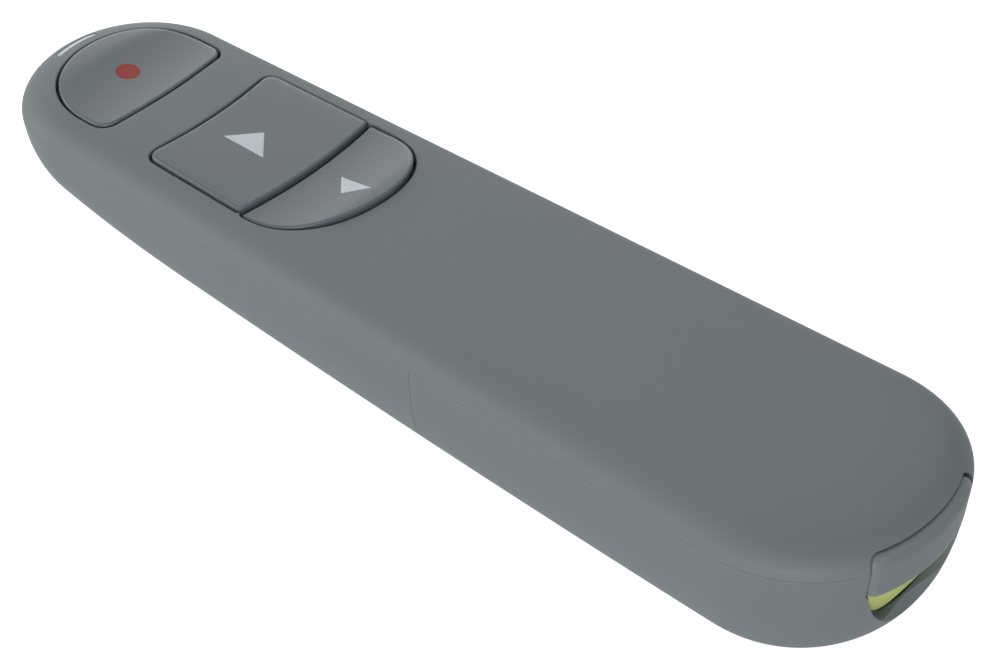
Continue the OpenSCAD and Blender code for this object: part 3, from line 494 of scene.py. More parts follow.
# Moulded plastics: sizes and the grain's depth in millimetres, the other values as shares
shellLook = {
    "colour": linear(112, 122, 125), "drift": 0.02, "driftSize": 26, "grainSize": 0.11, "grainDepth": 0.006,
    "pitSize": 3.1, "fineShare": 0.6, "roughness": 0.56, "roughDrift": 0.06, "grainRough": 0.08,
    "gloss": 0.42, "wear": 0.18, "wearSize": 2.5, "wornTint": 1.45, "wornSmooth": 0.12,
}


def mouldedFinish(name, change):
    # spark-eroded grain in two sizes, slow colour drift, edges rubbed paler and smoother
    f, look = Finish(name), dict(shellLook, **change)
    colour = look["colour"]
    drift = f.noise(look["driftSize"], 3.0)
    fine = f.noise(look["grainSize"], 2.0, 0.6)
    pits = f.noise(look["grainSize"] * look["pitSize"], 3.0, 0.55)
    worn = (f.attribute("wear") * (0.35 + 1.3 * f.noise(look["wearSize"], 4.0, 0.65))).over(0.25, 1.0)
    base = f.mix(drift, tinted(colour, 1 - look["drift"]), tinted(colour, 1 + look["drift"]))
    base = f.mix(worn * look["wear"], base, tinted(colour, look["wornTint"]))
    rough = look["roughness"] + look["roughDrift"] * (drift - 0.5)
    rough = rough + look["grainRough"] * (fine - 0.5) - look["wornSmooth"] * worn
    height = look["fineShare"] * fine + (1 - look["fineShare"]) * pits
    return f.surface(Base_Color=base, Roughness=rough, Normal=f.bump(height, look["grainDepth"]),
                     Specular_IOR_Level=look["gloss"])


shellGrey = mouldedFinish("softGrey", {})
buttonGrey = mouldedFinish("buttonGrey", {
    "colour": linear(90, 102, 106), "roughness": 0.36, "grainSize": 0.16, "grainDepth": 0.002, "gloss": 0.38,
    "wear": 0.35, "drift": 0.015})
frameBlack = mouldedFinish("frameBlack", {"colour": linear(44, 46, 47), "roughness": 0.5})
sliderGrey = mouldedFinish("sliderGrey", {"colour": linear(72, 77, 79), "roughness": 0.45})
limePlastic = mouldedFinish("limePlastic", {
    "colour": linear(212, 222, 128), "roughness": 0.4, "drift": 0.03, "grainDepth": 0.003, "gloss": 0.5})
tongueWhite = mouldedFinish("tongueWhite", {"colour": linear(225, 226, 222), "roughness": 0.45, "wear": 0.0})
switchBlack = mouldedFinish("switchBlack", {"colour": linear(36, 37, 40), "roughness": 0.45})
switchBrown = mouldedFinish("switchBrown", {"colour": linear(120, 76, 44), "roughness": 0.4})
chipBlack = mouldedFinish("chipBlack", {"colour": linear(30, 31, 33), "roughness": 0.5, "grainSize": 0.06})
chipTan = mouldedFinish("chipTan", {"colour": linear(168, 142, 108), "roughness": 0.5, "grainSize": 0.05})
wireRed = mouldedFinish("wireRed", {"colour": linear(168, 42, 34), "roughness": 0.38, "gloss": 0.5})


def inkFinish(name, colour, gloss):
    # pad-printed ink: thin, slightly uneven in colour and gloss
    f = Finish(name)
    cloud, fleck = f.noise(0.9, 4.0, 0.6), f.noise(0.09)
    return f.surface(Base_Color=f.mix(cloud, tinted(colour, 0.93), tinted(colour, 1.05)),
                     Roughness=0.36 + 0.14 * cloud, Normal=f.bump(fleck, 0.002), Specular_IOR_Level=gloss)


markRed = inkFinish("markRed", linear(146, 26, 12), 0.25)
markPale = inkFinish("markPale", linear(208, 221, 228), 0.45)


def metalFinish(name, colour, roughness, brushing):
    # drawn or rolled metal: long fine lines along Y, faint stains
    f = Finish(name)
    lines, stain = f.noise(1 / 9, 3.0, vector=f.stretched(0.06)), f.noise(1.6, 4.0, 0.6)
    rough = roughness + 0.16 * (stain - 0.5) + 0.1 * (lines - 0.5)
    return f.surface(Base_Color=f.mix(stain, tinted(colour, 0.86), tinted(colour, 1.06)), Roughness=rough,
                     Metallic=1.0, Normal=f.bump(lines, brushing))


steel = metalFinish("steel", (0.62, 0.62, 0.63, 1), 0.3, 0.003)
brass = metalFinish("brass", (0.72, 0.53, 0.24, 1), 0.32, 0.003)
gold = metalFinish("gold", (0.85, 0.62, 0.28, 1), 0.26, 0.002)


def boardFinish():
    # solder mask over copper: faint tracks on a square grid, small vias, glass weave showing through
    f = Finish("boardGreen")
    tracks = f.node("TexBrick", {"offset": 0.37, "squash": 1.4}, {
        "Vector": f.place, "Scale": 420.0, "Mortar Size": 0.012, "Brick Width": 0.9, "Row Height": 0.42,
        "Bias": 0.0}, "Fac")
    vias = f.node("TexVoronoi", {"feature": "F1"}, {"Vector": f.place, "Scale": 330.0, "Randomness": 0.8},
                  "Distance")
    copper = (0.09 - vias).over(0.0, 0.015)
    weave = f.node("TexWave", {"wave_type": "BANDS", "bands_direction": "DIAGONAL"},
                   {"Vector": f.place, "Scale": 900.0, "Distortion": 1.0}, "Fac")
    mask = f.mix(0.25 * weave + 0.55 * tracks, (0.006, 0.07, 0.028, 1), (0.014, 0.15, 0.055, 1))
    return f.surface(Base_Color=f.mix(copper, mask, (0.7, 0.62, 0.4, 1)), Roughness=0.34 - 0.1 * tracks,
                     Metallic=copper * 0.9, Normal=f.bump(tracks + 0.1 * weave, 0.02))


boardGreen = boardFinish()


def clearFinish(name, colour, roughness, through):
    # clear moulded plastic with faint flow lines
    f = Finish(name)
    flow = f.noise(2.2, 3.0)
    return f.surface(Base_Color=f.mix(flow, tinted(colour, 0.96), colour), Roughness=roughness + 0.06 * flow,
                     Normal=f.bump(flow, 0.004), Transmission_Weight=through, IOR=1.49)


guideClear = clearFinish("guideClear", (0.72, 0.79, 0.85, 1), 0.22, 0.25)
lensClear = clearFinish("lensClear", (0.9, 0.95, 1.0, 1), 0.05, 0.9)
windowRed = clearFinish("windowRed", (0.10, 0.012, 0.014, 1), 0.08, 0.3)
ledWhite = clearFinish("ledWhite", (0.9, 0.9, 0.86, 1), 0.3, 0.1)


def sleeveFinish():
    # printed shrink sleeve: dark body and a pale band, metal at both ends, fine wrinkles round the cell
    f = Finish("cellWrap")
    band, metal = f.attribute("band"), f.attribute("metal")
    wrinkle = f.noise(2 / 3, 3.0, vector=f.stretched(0.2))
    sleeve = f.mix(band, (0.028, 0.03, 0.034, 1), (0.46, 0.47, 0.45, 1))
    return f.surface(Base_Color=f.mix(metal, sleeve, (0.66, 0.66, 0.67, 1)), Metallic=metal,
                     Roughness=0.28 + 0.12 * wrinkle, Normal=f.bump(wrinkle, 0.006))


cellWrap = sleeveFinish()
print("finishes ready")


def closedSkin(rings, worn):
    # rings joined into one wall and closed across at both ends; worn gives ranges of rings and their wear
    wear = np.zeros((len(rings), ringCount))
    for first, last, value in worn:
        wear[first:last] = value
    faces = ringFaces(len(rings), ringCount).tolist()
    faces += stripFaces(0, False) + stripFaces((len(rings) - 1) * ringCount, True)
    return np.concatenate(rings), faces, wear.ravel()


def topSkin():
    # inner crown and shoulder outwards, rounded rim at the parting line, outer shoulder and crown inwards
    h, lip = handset, handset["lip"]
    end, within, width = h["shoulderEnd"], h["shoulderInside"], h["shoulderWidth"]
    shares = np.linspace(h["spineShare"], 1, 18) ** 0.8
    inner = [crownRing(s, within, h["wall"], ceiling) for s in shares[::2]]
    inner += [shoulderRing(t, within, h["wall"], ceiling) for t in np.linspace(end, 0, 8)[1:]]
    rim = [(lip * (1 - np.sin(a)), lip * (1 - np.cos(a))) for a in quarterTurn(5)]
    rim = [atHeight(innerLine(inset), parting + rise) for inset, rise in rim]
    start = np.arcsin(lip / (shoulderTop - parting) * np.sin(end))
    outer = [shoulderRing(t, width, 0, shoulderTop) for t in np.linspace(start, end, 22)[1:]]
    outer += [crownRing(s, width, 0, shoulderTop) for s in shares[::-1][1:]]
    return closedSkin(inner + rim + outer, [(len(inner) + 2, len(inner) + 6, h["rimWear"])])


def lowerSkin():
    # outer floor, foot and side wall upwards, rounded rim, inner wall, foot and floor; later cut at the seam
    h, lip, wall, share = handset, handset["lip"], handset["wall"], handset["footShare"]
    outside, within = h["footRound"], h["footInside"]
    shares = np.linspace(h["spineShare"], 1, 12)
    down = quarterTurn(14)[::-1]
    outer = [floorRing(s, outside, 0, 0) for s in shares]
    outer += [footRing(t, None, outside, 0, 0) for t in down[1:]]
    full = 1 - lip / (parting - underside(innerLine(0)[:, 1]))
    outer += [footRing(0, share + (full - share) * k, outside, 0, 0) for k in (0.25, 0.5, 0.75, 1)]
    drawn = h["draft"] * (1 - full)
    rim = [(drawn + lip * (1 - np.cos(a)), lip * (1 - np.sin(a))) for a in quarterTurn(5)[1:]]
    rim = [atHeight(innerLine(inset), parting - drop) for inset, drop in rim]
    inner = [footRing(0, s, within, wall, wall) for s in np.linspace(1, share, 4)]
    inner += [footRing(t, None, within, wall, wall) for t in down[::-2][1:]]
    inner += [floorRing(s, within, wall, wall) for s in shares[::-2][1:]]
    foot = len(shares) + 3
    return closedSkin(outer + rim + inner, [(len(outer) - 1, len(outer) + 3, h["rimWear"]),
                                            (foot, foot + 6, h["footWear"])])


# The three press buttons
buttons = {
    "gap": 0.35,
    "shift": (0.2, 0.18),  # all three caps sit a little right of the middle and towards the nose
    "proud": 0.3,
    "bow": 0.9,
    "mouth": 0.2,  # rounding of the shell's edge round each opening
    "blend": 0.2,  # softness of the line where a hollow or a level meets the crown
    "wall": 0.8,
    "roof": 0.6,
    "flangeLow": 13.3,
    "flangeTop": 14.1,
    "flangeOut": 0.9,
    "nibRadius": 1.2,
    "nibLow": 12.95,
    "nibSunk": 0.3,
    "points": 260,
    "softening": 3,
}
laserButton = {
    "width": 21.1, "lowToNose": 18.35, "side": 3.7, "tip": 9.9, "power": 2.1, "bow": 0.5, "corner": 2.0,
    "edge": 0.38, "hollowAhead": 1.0, "hollowLow": 16.25, "hollowRadius": 28.0, "nibAhead": 1.8,
    "markRadius": 1.55, "markAhead": 2.7,
}
nextButton = {
    "width": 22.0, "lowWidth": 22.9, "topToNose": 25.65, "length": 15.35, "bow": 0.75, "corner": 1.3,
    "edge": 0.32, "level": 16.62, "arrowBase": 6.5, "arrowHeight": 3.8, "arrowTip": 1.5, "arrowAhead": 0.1,
}
previousButton = {
    "width": 23.2, "length": 10.93, "side": 2.06, "power": 2.27, "slant": -0.089, "edge": 0.34, "proud": 0.6,
    "hollowBehind": 0.4, "hollowLow": 16.05, "hollowRadius": 34.0, "arrowBase": 4.8, "arrowHeight": 2.8,
    "arrowTip": -1.1, "arrowBehind": 0.9,
}
mark = {"lift": 0.012, "edge": 0.05, "depth": 0.3}
laserLow = noseTip - laserButton["lowToNose"]
laserMid = laserLow + laserButton["side"]
nextTop = noseTip - nextButton["topToNose"]
nextLow = nextTop - nextButton["length"]
nextMid = (nextTop + nextLow) / 2
previousTop = nextLow - buttons["gap"]
previousLow = previousTop - previousButton["length"]
previousMid = (previousTop + previousLow) / 2


def bowed(xFrom, xTo, y, reach, sag=buttons["bow"]):
    # cross edge sagging towards the tail as a parabola
    x = np.linspace(xFrom, xTo, 40)
    return np.stack([x, y - sag * (1 - (x / reach) ** 2)], 1)


def quarter(x, y, radius, start):
    # a quarter circle about a point, from the start angle onwards
    turn = np.radians(np.linspace(start, start + 90, 14))
    return np.stack([x + radius * np.cos(turn), y + radius * np.sin(turn)], 1)


def superArc(turn, power):
    # superellipse of size one: cosine and sine raised to two over the power
    across = np.sign(np.cos(turn)) * np.abs(np.cos(turn)) ** (2 / power)
    return across, np.abs(np.sin(turn)) ** (2 / power)


def roundRectangle(half, low, high, corner, points):
    # four quarter circles joined by straight sides
    a, c = half - corner, corner
    return resample(np.concatenate([quarter(a, high - c, c, 0), quarter(-a, high - c, c, 90),
                                    quarter(-a, low + c, c, 180), quarter(a, low + c, c, 270)]), points)


def buttonLine(stretches):
    # one closed outline from its stretches, evenly spaced and slightly softened
    return resample(np.concatenate(stretches), buttons["points"], buttons["softening"]) + buttons["shift"]


def laserLine():
    # half superellipse to the nose, straight sides, small corners and a bowed low edge
    b = laserButton
    a, c = b["width"] / 2, b["corner"]
    x, y = superArc(np.linspace(0, np.pi, 91), b["power"])
    arc, inner = np.stack([a * x, laserMid + b["tip"] * y], 1), a - c
    low = bowed(-inner, inner, laserLow, inner, b["bow"])
    return buttonLine([arc, quarter(-inner, laserLow + c, c, 180), low, quarter(inner, laserLow + c, c, 270)])


def nextLine():
    # bowed edges front and back, rounded front corners, a little wider at the low edge
    a, c = nextButton["lowWidth"] / 2, nextButton["corner"]
    x = nextButton["width"] / 2 - c
    return buttonLine([quarter(x, nextTop - c, c, 0), bowed(x, -x, nextTop, x, nextButton["bow"]),
                       quarter(-x, nextTop - c, c, 90), bowed(-a, a, nextLow, a)])


def previousLine():
    # bowed front edge and a half superellipse towards the tail, leaning a little to the right
    b = previousButton
    a = b["width"] / 2
    across, along = superArc(np.linspace(0, np.pi, 121)[1:-1], b["power"])
    x = -a * across
    y = previousTop - b["side"] - (b["length"] - b["side"]) * along + b["slant"] * x
    return buttonLine([bowed(a, -a, previousTop, a), np.stack([x, y], 1)])


def hollow(y, middle, low, radius):
    # height of a cylinder's lowest strip: radius less the root of its square less the distance's square
    return low + radius - np.sqrt(radius ** 2 - (y - middle) ** 2)


def softLower(first, second):
    # the lower of two heights, with the crossing rounded off
    blend = buttons["blend"]
    return (first + second - np.sqrt((first - second) ** 2 + blend ** 2)) / 2 + blend * 0.1


def laserTop(x, y):
    # the crown, raised, and a hollow across it
    b = laserButton
    return softLower(domeHeight(x, y) + buttons["proud"],
                     hollow(y, laserMid + b["hollowAhead"], b["hollowLow"], b["hollowRadius"]))


def nextTopHeight(x, y):
    # the crown, raised, and a level
    return softLower(domeHeight(x, y) + buttons["proud"], nextButton["level"] + 0 * x)


def previousTopHeight(x, y):
    # the crown, raised, and a hollow that lies near its front edge
    b = previousButton
    return softLower(domeHeight(x, y) + b["proud"],
                     hollow(y, previousTop - b["hollowBehind"], b["hollowLow"], b["hollowRadius"]))


def drawnIn(line, middle, shares, top):
    # the line drawn in towards its middle, each ring lying on the surface
    rings = [middle + share * (line - middle) for share in shares]
    return [atHeight(p, top(*p.T)) for p in rings]


def rolledEdge(line, top, edge, steps):
    # rings up a quarter circle: inwards by the cosine, up to the surface by the sine
    normal, rings = outwards(line), []
    for turn in quarterTurn(steps):
        p = line - edge * (1 - np.cos(turn)) * normal
        rings.append(atHeight(p, top(*p.T) - edge * (1 - np.sin(turn))))
    return rings


def capRings(line, top, edge, flange):
    # hollow cap: ceiling outwards, inner wall down, flange, outer wall up, rounded edge, top inwards
    b, normal = buttons, outwards(line)
    inside = line - b["wall"] * normal
    rings = drawnIn(inside, inside.mean(0), np.linspace(0.08, 1, 7), lambda x, y: top(x, y) - b["roof"])
    rings.append(atHeight(inside, b["flangeLow"]))
    for out, z in [(flange, b["flangeLow"]), (flange, b["flangeTop"]), (0 * flange, b["flangeTop"])]:
        rings.append(atHeight(line + out[:, None] * normal, z))
    rings += rolledEdge(line, top, edge, 8)
    rim = rings[-1][:, :2]
    return rings + drawnIn(rim, rim.mean(0), np.linspace(1, 0.03, 26)[1:], top)


def buttonPiece(name, line, top, look, flange, nibY, body, node):
    # the cap and the nib that meets its switch; its rolled edge is the part that wears
    b = buttons
    rings = capRings(line, top, look["edge"], flange)
    wear = np.zeros((len(rings), len(line)))
    wear[13:19] = 1
    nibTop = float(top(np.zeros(1), np.array([nibY]))[0]) - b["nibSunk"]
    nib = turned([(b["nibLow"], 0.8 * b["nibRadius"]), (b["nibLow"] + 0.2, b["nibRadius"]),
                  (nibTop, b["nibRadius"])], 32, (0, nibY, 0))
    verts, faces = placed([tube(rings), nib])
    worn = np.concatenate([wear.ravel(), np.zeros(len(verts) - wear.size)])
    return finishPiece(makeObject(name, verts, faces, worn), body, buttonGrey, [node], 40)


def markPiece(name, line, top, body, material, node):
    # thin inlaid pad that follows the button's top
    middle = line.mean(0)
    raised = lambda x, y: top(x, y) + mark["lift"]
    sunk = top(*line.T) - mark["depth"]
    rings = [atHeight(middle + share * (line - middle), sunk) for share in (0.1, 1)]
    rings += rolledEdge(line, raised, mark["edge"], 4)
    rim = rings[-1][:, :2]
    rings += drawnIn(rim, rim.mean(0), np.linspace(1, 0.05, 9)[1:], raised)
    return finishPiece(makeObject(name, *tube(rings)), body, material, [node])


def openingCutter(line, low):
    # prism through the top skin; its mouth flares by a quarter circle that follows the skin
    normal, gap, mouth = outwards(line), buttons["gap"], buttons["mouth"]
    rings = [atHeight(line + gap * normal, low)]
    for turn in quarterTurn(6):
        p = line + (gap + mouth * (1 - np.cos(turn))) * normal
        z = domeHeight(*p.T) - mouth * (1 - np.sin(turn))
        rings.append(atHeight(p, z))
    rings.append(atHeight(line + (gap + mouth + 1.0) * normal, z + 1.0))
    return makeObject("opening", *tube(rings))


# Receiver: cap flush with the tail, lime body behind it, metal plug
receiver = {
    "capWidth": 18.8, "capHeight": 6.0, "belowCrest": 1.9, "capThickness": 3.6, "corner": 1.6, "edge": 0.3,
    "gap": 0.3, "behind": 0.2, "round": 8.1, "drop": 8.0, "power": 3.0, "topCorner": 0.5, "length": 4.0,
    "flat": 1.9, "top": 14.0, "scoopSlope": 1.08, "scoopReach": 4.0,
}
plug = {
    "width": 12.0, "height": 4.5, "length": 11.8, "wall": 0.35, "corner": 0.45, "drop": 0.9, "roll": 0.12,
    "holeSize": 2.2, "holeSide": 2.9, "holeForward": 5.5,
}
capBack = tailTip + receiver["capThickness"]
bodyBack = capBack + receiver["length"]
plugTip = bodyBack + plug["length"]
capTop = handset["height"] - receiver["belowCrest"]
capLow = capTop - receiver["capHeight"]
receiverMid = capLow + receiver["flat"]
plugMid = receiverMid - plug["drop"]


def capLine(grow):
    # rounded rectangle in X and Z
    r = receiver
    return roundRectangle(r["capWidth"] / 2 + grow, capLow - grow, capTop + grow, r["corner"], 200)


def receiverLine(grow):
    # half superellipse below, straight sides and a flat top, in X and Z
    r, c = receiver["round"] + grow, receiver["topCorner"]
    high = receiver["top"] + grow
    x, z = superArc(np.linspace(np.pi, 2 * np.pi, 91), receiver["power"])
    return resample(np.concatenate([np.stack([r * x, receiverMid - (receiver["drop"] + grow) * z], 1),
                                    quarter(r - c, high - c, c, 0), quarter(c - r, high - c, c, 90)]), 220)


def plugLine(grow):
    # rounded rectangle of the folded metal plug, in X and Z
    half = plug["height"] / 2 + grow
    return roundRectangle(plug["width"] / 2 + grow, -half, half, plug["corner"] + grow, 120)


def tailObject(name, rings, wear=None):
    # rings drawn in X and Z, their third value running from the nose to the tail
    verts, faces = tube(rings)
    return makeObject(name, np.column_stack([verts[:, 0], -verts[:, 2], verts[:, 1]]), faces, wear)


def tailSurface(x, z):
    # Y of the tail's outer face: inset of the shoulder or the foot at this height, then the end rounding
    h = handset
    climb = np.clip((z - parting) / (shoulderTop - parting) * np.sin(h["shoulderEnd"]), 0, 0.96)
    above = h["shoulderWidth"] * (1 - np.sqrt(1 - climb ** 2))
    share = np.clip(z / parting, 0, 1)
    foot = np.clip(1 - share / h["footShare"], 0, 1)
    below = h["draft"] * (1 - share) + h["footRound"] * (1 - np.sqrt(1 - foot ** 2))
    inset = np.where(z > parting, above, below)
    y = np.full_like(x, tailTip + 1.0)
    for step in range(12):
        part = np.clip(np.abs(x) / (halfWidth(y) - inset), 0, 0.999) ** h["tailPower"]
        y = tailMid - (h["tailRound"] - inset) * (1 - part) ** (1 / h["tailPower"])
    return y


def receiverCapPiece():
    # front face on the tail's own surface, edges rolled off, flat back
    line = capLine(0)
    middle, face = line.mean(0), lambda x, z: -tailSurface(x, z)
    rings = drawnIn(line, middle, (0.05, 0.5, 1), lambda x, z: -capBack)
    rings += rolledEdge(line, face, receiver["edge"], 7)
    rings += drawnIn(rings[-1][:, :2], middle, np.linspace(1, 0.03, 22)[1:], face)
    wear = np.zeros((len(rings), len(line)))
    wear[5:11] = 1
    piece = tailObject("receiverCap", rings, np.concatenate([wear.ravel(), np.zeros(2)]))
    return finishPiece(piece, "receiver", shellGrey, ["receiver_cap"])


def receiverBodyPiece():
    # lime body with rounded rims
    line, edge = receiverLine(0), receiver["edge"]
    normal, middle = outwards(line), line.mean(0)
    rings = drawnIn(line - edge * normal, middle, (0.1, 1), lambda x, z: -bodyBack)
    rings += [atHeight(line - edge * (1 - np.sin(t)) * normal, -bodyBack + edge * (1 - np.cos(t)))
              for t in quarterTurn(5)[1:]]
    rings += rolledEdge(line, lambda x, z: -capBack, edge, 5)
    rings += drawnIn(line, middle, [0.1], lambda x, z: -capBack)
    return finishPiece(tailObject("receiverBody", rings), "receiver", limePlastic, ["receiver_body"])


def tailPrism(name, line, front):
    # prism from outside the tail inwards
    return tailObject(name, [atHeight(line, -y) for y in (front, tailTip - 1)])


def tailNotch():
    # the cap's room
    return tailPrism("notch", capLine(receiver["gap"]), capBack + receiver["behind"])


def receiverRoom():
    # the lime body's room
    return tailPrism("room", receiverLine(receiver["gap"]), capBack + receiver["gap"])


def scoop():
    # cone that opens round the receiver towards the tail
    r, edge, reach = receiver["round"], capBack - 0.1, receiver["scoopReach"]
    profile = [(edge - reach, r + reach * receiver["scoopSlope"]), (edge, r), (edge + 0.4, r)]
    return makeObject("scoop", *turned(profile, 96, (0, 0, receiverMid), 1))


def plugShellPiece():
    # folded sheet: outer and inner rounded rectangles joined at both ends, two square holes through it
    outer, inner = plugLine(0), plugLine(-plug["wall"])
    rolled = plugTip - plug["roll"]
    rows = [(outer, bodyBack), (outer, rolled), (outer * 0.3 + inner * 0.7, plugTip), (inner, rolled),
            (inner, bodyBack)]
    rings = [np.stack([line[:, 0], 0 * line[:, 0] + y, line[:, 1] + plugMid], 1) for line, y in rows]
    count = len(outer)
    faces = [face[::-1] for face in ringFaces(len(rings), count).tolist()]
    i = np.arange(count)
    j, base = (i + 1) % count, (len(rings) - 1) * count
    faces += np.stack([i, j, base + j, base + i], 1).tolist()
    piece = makeObject("plugShell", np.concatenate(rings), faces)
    half, back = plug["holeSize"] / 2, bodyBack + plug["holeForward"]
    boxes = [((x - half, back, plugMid - 4), (x + half, back + 2 * half, plugMid + 4))
             for x in (-plug["holeSide"], plug["holeSide"])]
    holes = [makeObject("hole", *roundBox(*box, 0.12)) for box in boxes]
    return finishPiece(carve(piece, holes), "receiver", steel, ["receiver_plug_shell"])


def solidPiece(name, parts, body, material, nodes, sharp=32):
    # one piece from several closed meshes
    return finishPiece(makeObject(name, *placed(parts)), body, material, nodes, sharp)


def nodeBox(name):
    # lowest and highest corner of one of the frame's nodes, in millimetres
    low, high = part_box(name)
    return np.array(low) / mm, np.array(high) / mm


# Openings of the two shells
nose = {
    "windowRadius": 1.25, "windowFlare": 1.25, "lightInset": 2.0, "lightBand": 0.8, "lightWidth": 6.2,
    "lightMid": 0.4, "lightLow": 14.45, "lightGap": 0.1,
}


def noseLine(x, inset):
    # the nose's superellipse, drawn in by inset
    power = handset["headPower"]
    share = np.abs(x) / (halfWidth(noseMid) - inset)
    return noseMid + (handset["headRound"] - inset) * (1 - share ** power) ** (1 / power)


def crescentLine(grow):
    # band between two insets of the nose line, its ends rounded
    x = nose["lightMid"] + np.linspace(-1, 1, 40) * (nose["lightWidth"] / 2 + grow)
    far = np.stack([x, noseLine(x, nose["lightInset"] - grow)], 1)
    near = np.stack([x, noseLine(x, nose["lightInset"] + nose["lightBand"] + grow)], 1)
    return resample(np.concatenate([near, far[::-1]]), 160, 2)


def band(line, lowZ, top, edge):
    # closed band: strip of quads between the near and the far edge, top and bottom
    rings = [atHeight(line, lowZ)] + rolledEdge(line, top, edge, 4)
    verts, faces = np.concatenate(rings), ringFaces(len(rings), len(line)).tolist()
    count, base = len(line), (len(rings) - 1) * len(line)
    i = np.arange(1, count // 2 - 1)
    quads = np.stack([i, i + 1, count - i - 1, count - i], 1)
    faces += quads[:, ::-1].tolist() + (quads + base).tolist()
    ends = [[0, 1, count - 1], [count // 2 - 1, count // 2, count // 2 + 1]]
    faces += [face[::-1] for face in ends] + [[k + base for k in face] for face in ends]
    return verts, faces


def windowBore():
    # round hole that flares at the nose's face
    low, high = nodeBox("laser_window")
    r = nose["windowRadius"]
    profile = [(noseTip - 4, r), (noseTip - 0.25, r), (noseTip + 1, r + nose["windowFlare"])]
    return makeObject("bore", *turned(profile, 64, (0, 0, (low[2] + high[2]) / 2), 1))


def halfSpace(yLow, yHigh):
    # a block that holds all of the body between two places along it
    return makeObject("slab", *roundBox((-60, yLow, -5), (60, yHigh, 40), 0.01, 1))


def addParts(piece, parts):
    # closed inner ribs and posts joined to a finished wall
    extra = buildMesh("extra", *placed(parts))
    joined = bmesh.new()
    joined.from_mesh(piece.data)
    joined.from_mesh(extra)
    joined.to_mesh(piece.data)
    joined.free()
    bpy.data.meshes.remove(extra)


# Underside: seam, finger grips, screw pockets, posts and the laser's saddle
under = {
    "seamFromTail": 61.0, "seamGap": 0.06, "gripCount": 4, "gripPitch": 1.8, "gripWidth": 14.0,
    "gripLength": 1.0, "gripDepth": 0.3, "gripFromSeam": 6.0, "gripRound": 0.28,
    "pocketTop": 4.95, "pocketRadius": 1.8, "pocketFlare": 0.45, "boreRadius": 1.1,
    "tongueWidth": 4.4, "tongueRoot": 2.5, "tongueOut": 2.7, "tongueHeight": 0.7,
    "postRadius": 2.5, "postSunk": 0.8, "bossRadius": 2.0, "bossBore": 1.02, "bossDepth": 4.5,
    "saddleWidth": 6.0, "saddleDrop": 0.6, "saddleSunk": 0.2, "saddleSlip": 0.05,
}
screws = {
    "front": (9.4, 8.9), "rear": (12.4, -52.2), "headRadius": 1.65, "headHeight": 1.2, "shankRadius": 1.0,
    "thread": 0.55, "threadDepth": 0.16, "cross": 0.42, "crossReach": 1.05,
}
seam = tailTip + under["seamFromTail"]
deckTop = nodeBox("main_board")[0][2]
deckLow = deckTop - 1.2
earTop = deckLow + 2.6  # the frame's rear ears, which the rear screws hold
barrelLow, barrelHigh = nodeBox("laser_barrel")

# Power slider: its grip in the right wall
grip = {
    "length": 4.0, "height": 2.2, "ridges": 4, "ridgeDepth": 0.22, "stand": 0.5, "plateLap": 2.0,
    "slip": 0.1, "aboveBoard": 1.35,
}
sliderLow, sliderHigh = nodeBox("power_slider")
gripMid = (sliderLow[1] + sliderHigh[1]) / 2
gripZ = nodeBox("power_switch_body")[0][2] + grip["aboveBoard"]
sliderReach = [j["range_m"][1] / mm for j in frame["joints"] if j["name"] == "power_slide"][0]


def mirrored(x, y):
    # the same place on both sides
    return [(-x, y, 0), (x, y, 0)]


def sliderSlot():
    # slot in the right wall, as long as the grip and its travel
    half, high = grip["length"] / 2 + grip["slip"], grip["height"] / 2 + grip["slip"]
    near, far = (10, gripMid - half, gripZ - high), (30, gripMid + half + sliderReach, gripZ + high)
    return makeObject("slot", *roundBox(near, far, 0.3, 4, 0))


def saddleParts():
    # two cheeks beside the laser barrel and a floor below it
    wide, slip = under["saddleWidth"] / 2, barrelHigh[0] + under["saddleSlip"]
    back, front = barrelLow[1] + 1.2, barrelHigh[1] - 1
    low, middle = float(underside(front)) + under["saddleSunk"], (barrelLow[2] + barrelHigh[2]) / 2
    cheeks = [roundBox((x, back, low), (x + wide - slip, front, middle - under["saddleDrop"]), 0.15)
              for x in (-wide, slip)]
    return cheeks + [roundBox((-wide, back, low), (wide, front, barrelLow[2] - 0.02), 0.1)]


def buildBottomShell():
    # front part of the lower skin, with the slider's slot and two screw pockets, each with a post round it
    u, places = under, mirrored(*screws["front"])
    piece = carve(makeObject("bottomShell", *lowerSkin()), [halfSpace(seam, 80)], "INTERSECT")
    top, wide, bore, post = u["pocketTop"], u["pocketRadius"], u["boreRadius"], u["postRadius"]
    low = float(underside(screws["front"][1]))
    pocket = [(low - 1, wide + 1.1), (low + u["pocketFlare"], wide), (top, wide)]
    sleeve = [(low + u["postSunk"], post), (deckLow, post), (deckLow, bore), (top, bore), (top, wide),
              (low + u["postSunk"], wide)]
    pockets = [makeObject("pocket", *turned(pocket, 64, place)) for place in places]
    piece = carve(piece, [windowBore(), sliderSlot()] + pockets)
    addParts(piece, [turnedRing(sleeve, 40, place) for place in places] + saddleParts())
    return finishPiece(piece, "handset", shellGrey, ["bottom_shell"], 30)


